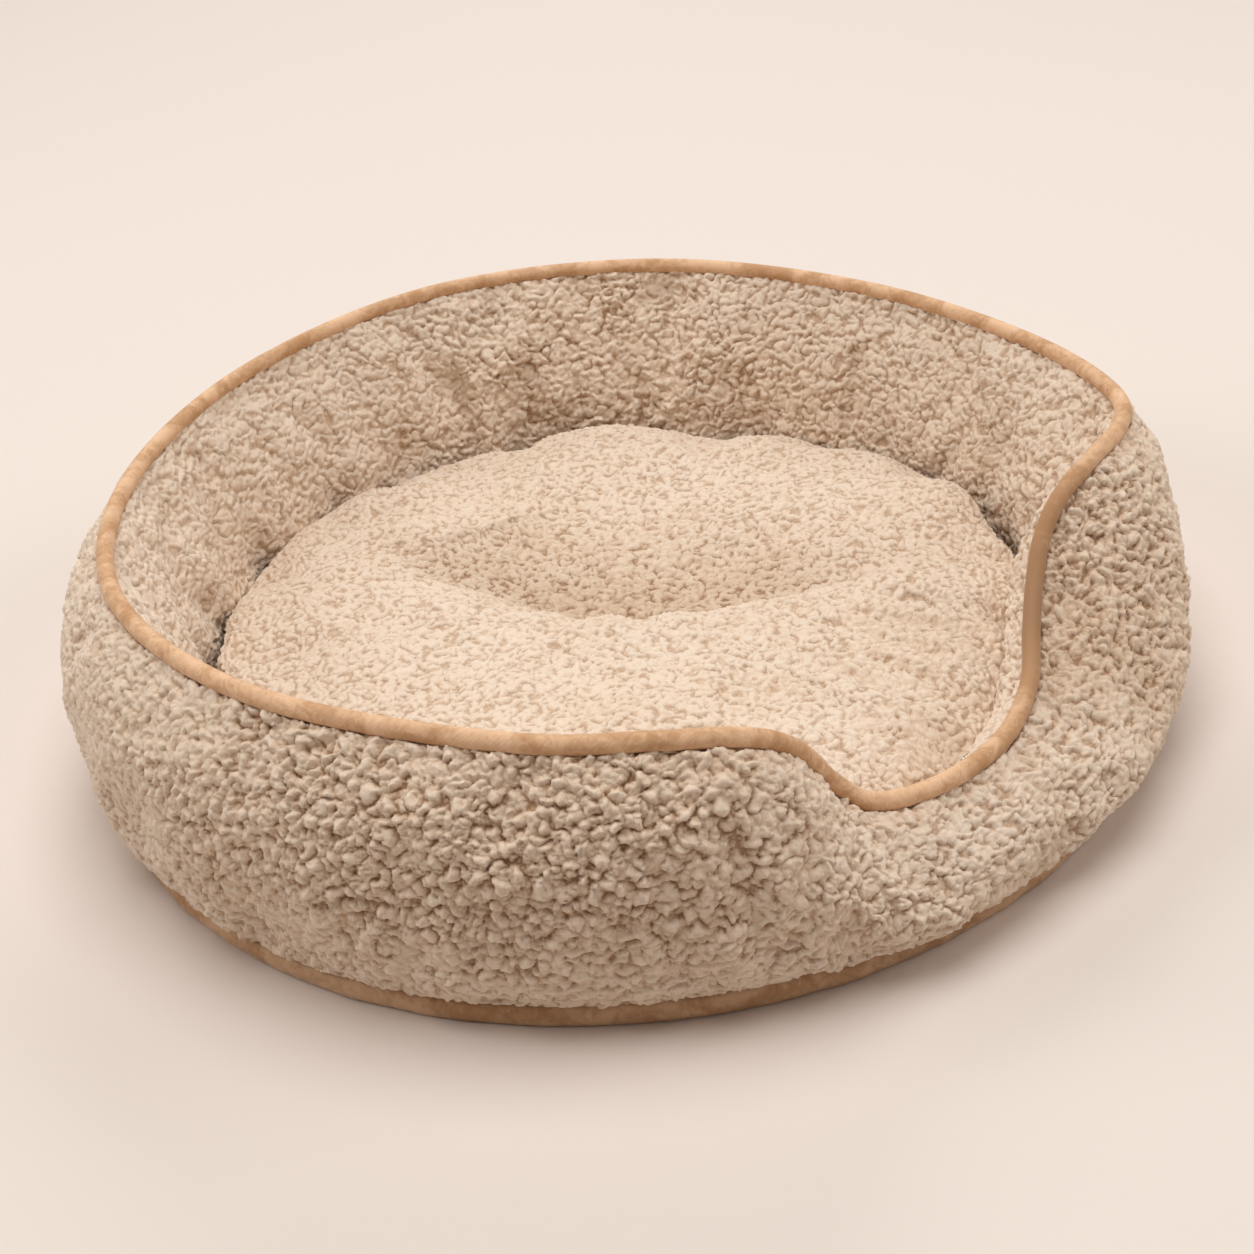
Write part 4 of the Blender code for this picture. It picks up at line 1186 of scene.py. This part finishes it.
def cushion_crown():
    """Inflates the closed cushion once, and returns its top as a square grid of points."""
    count = 65
    x, y = disc_grid(count)
    share = np.hypot(x, y)
    angle = np.arctan2(y, x)
    shares, radii, heights = np.array(CROWN).T
    radius = np.interp(share, shares, radii)
    height = np.interp(share, shares, heights)
    outward = np.clip((radius - 0.150) / 0.067, 0.0, 1.0) * np.clip((height - 0.0395) / 0.008, 0.0, 1.0)
    degrees = np.degrees(angle)
    radius += SWELL_DEPTH * bump(degrees, SWELL_ANGLE, SWELL_SPREAD) * outward
    radius -= NIP_DEPTH * bump(degrees, NIP_ANGLE, NIP_SPREAD) * outward
    for centre in PRESS_ANGLES:
        radius += PRESS_DEPTH * bump(degrees, centre, PRESS_SPREAD, 4) * outward
    px, py = radius * np.cos(angle), radius * np.sin(angle)
    top = np.stack([px, py, height], axis=-1)
    lobe = NEAR_LOBE[2] * np.exp(-((px - NEAR_LOBE[0]) ** 2 + (py - NEAR_LOBE[1]) ** 2) / NEAR_LOBE[3] ** 2)
    calm = np.clip((1.0 - share) / 0.07, 0.0, 1.0)
    lumps = 0.0016 * drift(top, 31, 0.11) + 0.0008 * drift(top, 32, 0.05)
    top[..., 2] += calm * (lumps + lobe - cushion_sink(px, py))
    bottom = top.copy()
    bottom[..., 2] = CUSHION_EDGE - 0.006
    places = np.vstack([top.reshape(-1, 3), bottom.reshape(-1, 3)])
    upper = square_faces(count)
    edge = border(count)
    following = np.roll(edge, -1)
    wall = np.stack([edge, edge + count * count, following + count * count, following], axis=-1)
    body = mesh_object("cushion_body", places, [upper, upper[:, ::-1] + count * count, wall])
    pinned = np.ones(2 * count * count, bool)
    held = np.zeros((count, count), bool)
    held.ravel()[edge] = True
    held |= np.hypot(px + 0.006, py + 0.010) < 0.014
    pinned[:count * count] = held.ravel()
    moved = inflate(body, pinned, 2.5, 0.022, 0.004)
    return moved[:count * count].reshape(count, count, 3)


def cushion_knobs(face):
    """Bigger clumps in the dip and by the entrance."""
    dip = np.exp(-(np.hypot(face[..., 0] - 0.02, face[..., 1]) / 0.08) ** 2)
    front = np.exp(-(np.hypot(face[..., 0] - 0.01, face[..., 1] + 0.19) / 0.07) ** 2)
    return np.clip(0.14 + 0.40 * dip + 0.35 * front + 0.10 * drift(face, 63, 0.06), 0.0, 1.0)


def make_cushion_top(settings):
    """The puffed fleece top of the cushion."""
    face = cushion_crown()
    step = settings.grid * 1.0
    count = round(0.475 / step)
    face = open_rows(face, count)
    face = open_rows(face.transpose(1, 0, 2), count).transpose(1, 0, 2)
    sunk = fold_sink(face) + pleat_sink(face)
    # Painted shade in the fold and pleats, painted light on the fold's raised crest.
    hollow = np.clip(sunk / 0.011, -0.3, 1.0)
    face[..., 2] -= sunk
    edge = border(count)
    tucked = face.reshape(-1, 3)[edge] * (0.965, 0.965, 1.0)
    places = np.vstack([face.reshape(-1, 3), tucked, [[0.0, 0.0, CUSHION_EDGE]]])
    inside = count * count + np.arange(len(edge))
    centre = np.full(len(edge), len(places) - 1)
    ring_faces = np.stack([edge, inside, np.roll(inside, -1), np.roll(edge, -1)], axis=-1)
    fan = np.stack([inside, centre, np.roll(inside, -1)], axis=-1)
    piece = mesh_object("cushion_fleece", places, [square_faces(count), ring_faces, fan])
    cover = np.ones((count, count))
    for number, amount in enumerate((0.3, 0.5, 0.8)):
        cover[[number, -1 - number], :] = np.minimum(cover[[number, -1 - number], :], amount)
        cover[:, [number, -1 - number]] = np.minimum(cover[:, [number, -1 - number]], amount)
    spare = np.zeros(len(places) - count * count)
    set_values(piece, "cover", np.concatenate([cover.ravel(), spare]))
    set_values(piece, "knob", np.concatenate([cushion_knobs(face).ravel(), spare]))
    set_values(piece, "hollow", np.concatenate([hollow.ravel(), spare]))
    material = fleece("fleece_cushion", settings, settings.cushion_clump)
    run_tree(piece, bpy.data.node_groups.get("fleece_pile") or pile_tree(), {
        "Clump": settings.cushion_clump, "Height": settings.cushion_pile, "Material": material,
    })
    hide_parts("cushion_top_cover", "cushion_filling")
    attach(piece, "cushion")


ZIP_START = 36.8
ZIP_END = 143.2
ZIP_HEIGHT = 0.0280
ZIP_RADIUS = 0.2218
COIL_OFFSET = 0.0015
TAPE_HALF = 0.0004          # half of its thickness


def strip(name, start, end, inner, outer, low, high, material):
    """A curved band of cloth standing on its edge, softly bulged, with a UV map in metres."""
    columns = max(40, round(abs(end - start) * 2.0))
    angle = np.radians(np.linspace(start, end, columns))
    middle = 0.5 * (low + high)
    bulge = 0.12 * (outer - inner)
    outline = (
        (inner, low), (outer - bulge, low), (outer, low + 0.0008), (outer, middle), (outer, high - 0.0008),
        (outer - bulge, high), (inner, high), (inner + bulge, middle),
    )
    points = np.array([polar(angle, r, np.full_like(angle, z)) for r, z in outline])
    rows = len(points)
    first = np.arange(rows) * columns
    caps = [first[None, :], (first + columns - 1)[None, ::-1]]
    piece = skin(name, points, close_columns=False, extra_faces=caps)
    around = np.array([0.0, 0.0, 0.0, middle - low, high - low, high - low, high - low, middle - low])
    set_uv(
        piece, np.broadcast_to((angle - angle[0]) * outer, points.shape[:2]),
        np.broadcast_to(around[:, None], points.shape[:2]))
    piece.data.materials.append(material)
    return piece


def make_cushion_sides(suede_settings, cloth_settings):
    """The cushion's suede side strip with its two rows of stitches, and its plain underside."""
    low, high = SIDE_LOW.z, SIDE_HIGH.z
    material = suede("suede_side", suede_settings, 0.9)
    band = strip("cushion_side_suede", ZIP_END + 0.2, ZIP_START + 359.8, 0.2210, 0.2222, low, high, material)
    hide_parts("cushion_side_band")
    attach(band, "cushion")
    thread = plain_thread("cushion_thread", suede_settings)
    angle = np.radians(np.linspace(ZIP_END + 0.6, ZIP_START + 359.4, 400))
    for number, height in enumerate((low + 0.0022, high - 0.0022)):
        line = polar(angle, 0.22225, np.full_like(angle, height))
        row = bead_row(
            "side_stitches_" + str(number), line, False, 0.0034, (0.0024, 0.0006, 0.0006), 0.06, thread)
        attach(row, "cushion")
    radius = UNDER_HIGH.x
    under = cloth_disc(
        "cushion_under", radius, UNDER_LOW.z, UNDER_HIGH.z, 0.0, 73,
        woven("cushion_cloth", cloth_settings.lining, cloth_settings.thread))
    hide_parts("cushion_bottom_cover")
    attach(under, "cushion")


def plain_thread(name, settings):
    """Twisted sewing thread."""
    material, tree, shader, place = new_material(name)
    spot = place.outputs["Object"]
    ply = add_node(
        tree, "ShaderNodeTexWave", {"bands_direction": "DIAGONAL"},
        Vector=spot, Scale=900.0, Distortion=0.5).outputs[1]
    colour = mix_colour(tree, ply, tinted(settings.light, 0.75), tinted(settings.light, 1.25))
    tree.links.new(colour, shader.inputs["Base Color"])
    shader.inputs["Roughness"].default_value = 0.65
    return material


def nylon(name, settings):
    """Matt dyed nylon."""
    material, tree, shader, place = new_material(name)
    fleck = noise(tree, place.outputs["Object"], 700.0, 2.0)
    colour = mix_colour(tree, fleck, tinted(settings.light, 0.72), tinted(settings.light, 0.95))
    tree.links.new(colour, shader.inputs["Base Color"])
    shader.inputs["Roughness"].default_value = 0.42
    return material


def brass(name):
    """Brushed plated metal, worn a little unevenly."""
    material, tree, shader, place = new_material(name)
    spot = place.outputs["Object"]
    wear = noise(tree, spot, 900.0, 4.0)
    colour = mix_colour(tree, wear, (0.58, 0.44, 0.26), (0.74, 0.60, 0.40))
    tree.links.new(colour, shader.inputs["Base Color"])
    tree.links.new(map_range(tree, wear, 0.3, 0.7, 0.26, 0.42), shader.inputs["Roughness"])
    shader.inputs["Metallic"].default_value = 1.0
    return material


def softened_copy(node, body, material, width):
    """A copy of a hard piece with joined corners and rounded edges."""
    original = bpy.data.objects[node]
    graph = bpy.context.evaluated_depsgraph_get()
    mesh = bpy.data.meshes.new_from_object(original.evaluated_get(graph))
    mesh.transform(original.matrix_world)
    mesh.materials.clear()
    mesh.materials.append(material)
    data = bmesh.new()
    data.from_mesh(mesh)
    bmesh.ops.remove_doubles(data, verts=data.verts, dist=0.00001)
    bmesh.ops.dissolve_limit(data, angle_limit=math.radians(3.0), verts=data.verts, edges=data.edges)
    corner = math.radians(30.0)
    sharp = [edge for edge in data.edges if len(edge.link_faces) == 2 and edge.calc_face_angle(0.0) > corner]
    bmesh.ops.bevel(
        data, geom=sharp, offset=width, segments=2, profile=0.5, affect="EDGES", clamp_overlap=True)
    bmesh.ops.triangulate(data, faces=data.faces)
    bmesh.ops.recalc_face_normals(data, faces=data.faces)
    data.to_mesh(mesh)
    data.free()
    mesh.shade_smooth()
    mesh.set_sharp_from_angle(angle=math.radians(35.0))
    piece = bpy.data.objects.new(node + "_finished", mesh)
    bpy.context.scene.collection.objects.link(piece)
    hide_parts(node)
    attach(piece, body)
    return piece


def make_zip(suede_settings, cloth_settings):
    """Woven tapes, two rows of coil turns, stops, the slider and its pull."""
    tape_cloth = woven("zip_tape", tinted(cloth_settings.lining, 0.95), 0.0005)
    coil = nylon("zip_nylon", suede_settings)
    metal = brass("zip_metal")
    for node in ("zip_tape_upper", "zip_tape_lower"):
        low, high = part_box(node)
        tape = strip(
            node + "_woven", ZIP_START, ZIP_END, ZIP_RADIUS - TAPE_HALF, ZIP_RADIUS + TAPE_HALF,
            low.z, high.z, tape_cloth)
        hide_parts(node)
        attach(tape, "cushion")
    angle = np.radians(np.linspace(ZIP_START + 2.0, ZIP_END - 2.0, 300))
    for node, offset, tilt in (
        ("zip_coil_upper", COIL_OFFSET, 1.25), ("zip_coil_lower", -COIL_OFFSET, -1.25),
    ):
        line = polar(angle, ZIP_RADIUS, np.full_like(angle, ZIP_HEIGHT + offset))
        row = bead_row(node + "_turns", line, False, 0.00105, (0.0025, 0.0017, 0.00085), tilt, coil)
        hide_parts(node)
        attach(row, "cushion")
    for node in ("zip_stop_closed_end", "zip_stop_open_upper", "zip_stop_open_lower"):
        softened_copy(node, "cushion", metal, 0.00015)
    softened_copy("zip_slider", "zip_slider", metal, 0.00012)
    softened_copy("zip_pull", "zip_pull", metal, 0.0001)


# ---- Stage ----
CAMERA_AZIMUTH = -50.45
CAMERA_ELEVATION = 31.22
CAMERA_ROLL = -5.91
CAMERA_DISTANCE = 1.149
CAMERA_AIM = 0.075
CAMERA_ACROSS = 0.00612
CAMERA_ALONG = -0.0327
CAMERA_LENS = 57.36

# Soft boxes: name, place, width, share of the power setting
LIGHTS = (
    ("top_light", (0.0, 0.0, 3.8), 3.2, 1.98),
    ("back_light", (2.8, 2.3, 2.3), 1.8, 0.82),
    ("right_light", (2.1, -2.55, 2.1), 1.8, 0.60),
    ("left_light", (-2.1, 2.55, 2.1), 1.8, 0.74),
    ("near_right_light", (-0.3, -3.4, 2.7), 1.8, 0.14),
)


def make_camera():
    azimuth, elevation = math.radians(CAMERA_AZIMUTH), math.radians(CAMERA_ELEVATION)
    level = math.cos(elevation)
    back = Vector((math.sin(azimuth) * level, -math.cos(azimuth) * level, math.sin(elevation)))
    right = Vector((math.cos(azimuth), math.sin(azimuth), 0.0))
    up = back.cross(right)
    roll = math.radians(CAMERA_ROLL)
    across = right * math.cos(roll) + up * math.sin(roll)
    upward = up * math.cos(roll) - right * math.sin(roll)
    data = bpy.data.cameras.new("camera")
    data.lens = CAMERA_LENS
    data.sensor_width = 36.0
    data.clip_start = 0.05
    data.clip_end = 60.0
    camera = bpy.data.objects.new("camera", data)
    turn = Matrix((across, upward, back)).transposed()
    place = Vector((0.0, 0.0, CAMERA_AIM)) + back * CAMERA_DISTANCE
    place += across * CAMERA_ACROSS + upward * CAMERA_ALONG
    camera.matrix_world = Matrix.Translation(place) @ turn.to_4x4()
    bpy.context.scene.collection.objects.link(camera)
    bpy.context.scene.camera = camera


def add_light(name, place, aim, width, power):
    data = bpy.data.lights.new(name, "AREA")
    data.shape = "DISK"
    data.size = width
    data.energy = power
    lamp = bpy.data.objects.new(name, data)
    lamp.location = place
    lamp.rotation_euler = (Vector(aim) - Vector(place)).to_track_quat("-Z", "Y").to_euler()
    bpy.context.scene.collection.objects.link(lamp)


def make_stage(settings):
    bpy.ops.mesh.primitive_plane_add(size=16.0)
    floor = bpy.context.active_object
    floor.name = "studio_floor"
    material, tree, shader, place = new_material("studio_floor")
    shade = noise(tree, place.outputs["Object"], 1.5, 2.0)
    colour = mix_colour(tree, shade, tinted(settings.floor, 0.99), tuple(settings.floor))
    tree.links.new(colour, shader.inputs["Base Color"])
    shader.inputs["Roughness"].default_value = 0.95
    shader.inputs["Specular IOR Level"].default_value = 0.1
    floor.data.materials.append(material)
    world = bpy.data.worlds.new("studio")
    world.use_nodes = True
    world.node_tree.nodes["Background"].inputs[0].default_value = (1.0, 0.86, 0.74, 1.0)
    world.node_tree.nodes["Background"].inputs[1].default_value = 0.15
    bpy.context.scene.world = world
    for name, place, width, share_of_power in LIGHTS:
        add_light(name, place, (0.0, 0.0, 0.05), width, settings.power * share_of_power)
    scene = bpy.context.scene
    scene.view_settings.view_transform = "Standard"
    make_camera()


# ---- Operators ----
class PETBED_OT_wall(bpy.types.Operator):
    """Inflate the bolster wall and raise the fleece on both its faces"""
    bl_idname = "petbed.wall"
    bl_label = "Fleece Wall"

    def execute(self, context):
        make_wall(context.scene.petbed_fleece)
        return {"FINISHED"}


class PETBED_OT_piping(bpy.types.Operator):
    """Sweep the suede piping along the rim"""
    bl_idname = "petbed.piping"
    bl_label = "Rim Piping"

    def execute(self, context):
        make_piping(context.scene.petbed_suede)
        return {"FINISHED"}


class PETBED_OT_base(bpy.types.Operator):
    """Make the base's suede strip, lining and underside"""
    bl_idname = "petbed.base"
    bl_label = "Base"

    def execute(self, context):
        make_base(context.scene.petbed_suede, context.scene.petbed_cloth)
        return {"FINISHED"}


class PETBED_OT_cushion(bpy.types.Operator):
    """Inflate the loose cushion's top, and make its sides and underside"""
    bl_idname = "petbed.cushion"
    bl_label = "Cushion"

    def execute(self, context):
        scene = context.scene
        make_cushion_top(scene.petbed_fleece)
        make_cushion_sides(scene.petbed_suede, scene.petbed_cloth)
        return {"FINISHED"}


class PETBED_OT_zip(bpy.types.Operator):
    """Make the zip's tapes, coils, stops, slider and pull"""
    bl_idname = "petbed.zip"
    bl_label = "Cushion Zip"

    def execute(self, context):
        make_zip(context.scene.petbed_suede, context.scene.petbed_cloth)
        return {"FINISHED"}


class PETBED_OT_stage(bpy.types.Operator):
    """Add the floor, lights and camera"""
    bl_idname = "petbed.stage"
    bl_label = "Stage"

    def execute(self, context):
        make_stage(context.scene.petbed_stage)
        return {"FINISHED"}


class PETBED_PT_panel(bpy.types.Panel):
    """Lists the bed's pieces in the order they are made"""
    bl_label = "Pet Bed"
    bl_idname = "PETBED_PT_panel"
    bl_space_type = "VIEW_3D"
    bl_region_type = "UI"
    bl_category = "Pet Bed"

    def draw(self, context):
        for operator in OPERATORS:
            self.layout.operator(operator.bl_idname)
        for group in GROUPS:
            settings = getattr(context.scene, group)
            column = self.layout.column(align=True)
            for key in settings.bl_rna.properties.keys():
                if key not in ("rna_type", "name"):
                    column.prop(settings, key)


OPERATORS = (
    PETBED_OT_wall, PETBED_OT_piping, PETBED_OT_base, PETBED_OT_cushion, PETBED_OT_zip, PETBED_OT_stage,
)
GROUPS = {
    "petbed_fleece": FleeceSettings,
    "petbed_suede": SuedeSettings,
    "petbed_cloth": ClothSettings,
    "petbed_stage": StageSettings,
}
CLASSES = (*GROUPS.values(), *OPERATORS, PETBED_PT_panel)


def register():
    for item in CLASSES:
        bpy.utils.register_class(item)
    for name, group in GROUPS.items():
        setattr(bpy.types.Scene, name, bpy.props.PointerProperty(type=group))


def unregister():
    for name in GROUPS:
        delattr(bpy.types.Scene, name)
    for item in reversed(CLASSES):
        bpy.utils.unregister_class(item)


def main():
    register()
    bpy.ops.petbed.stage()
    bpy.ops.petbed.wall()
    bpy.ops.petbed.piping()
    bpy.ops.petbed.base()
    bpy.ops.petbed.cushion()
    bpy.ops.petbed.zip()


if __name__ == "__main__":
    main()
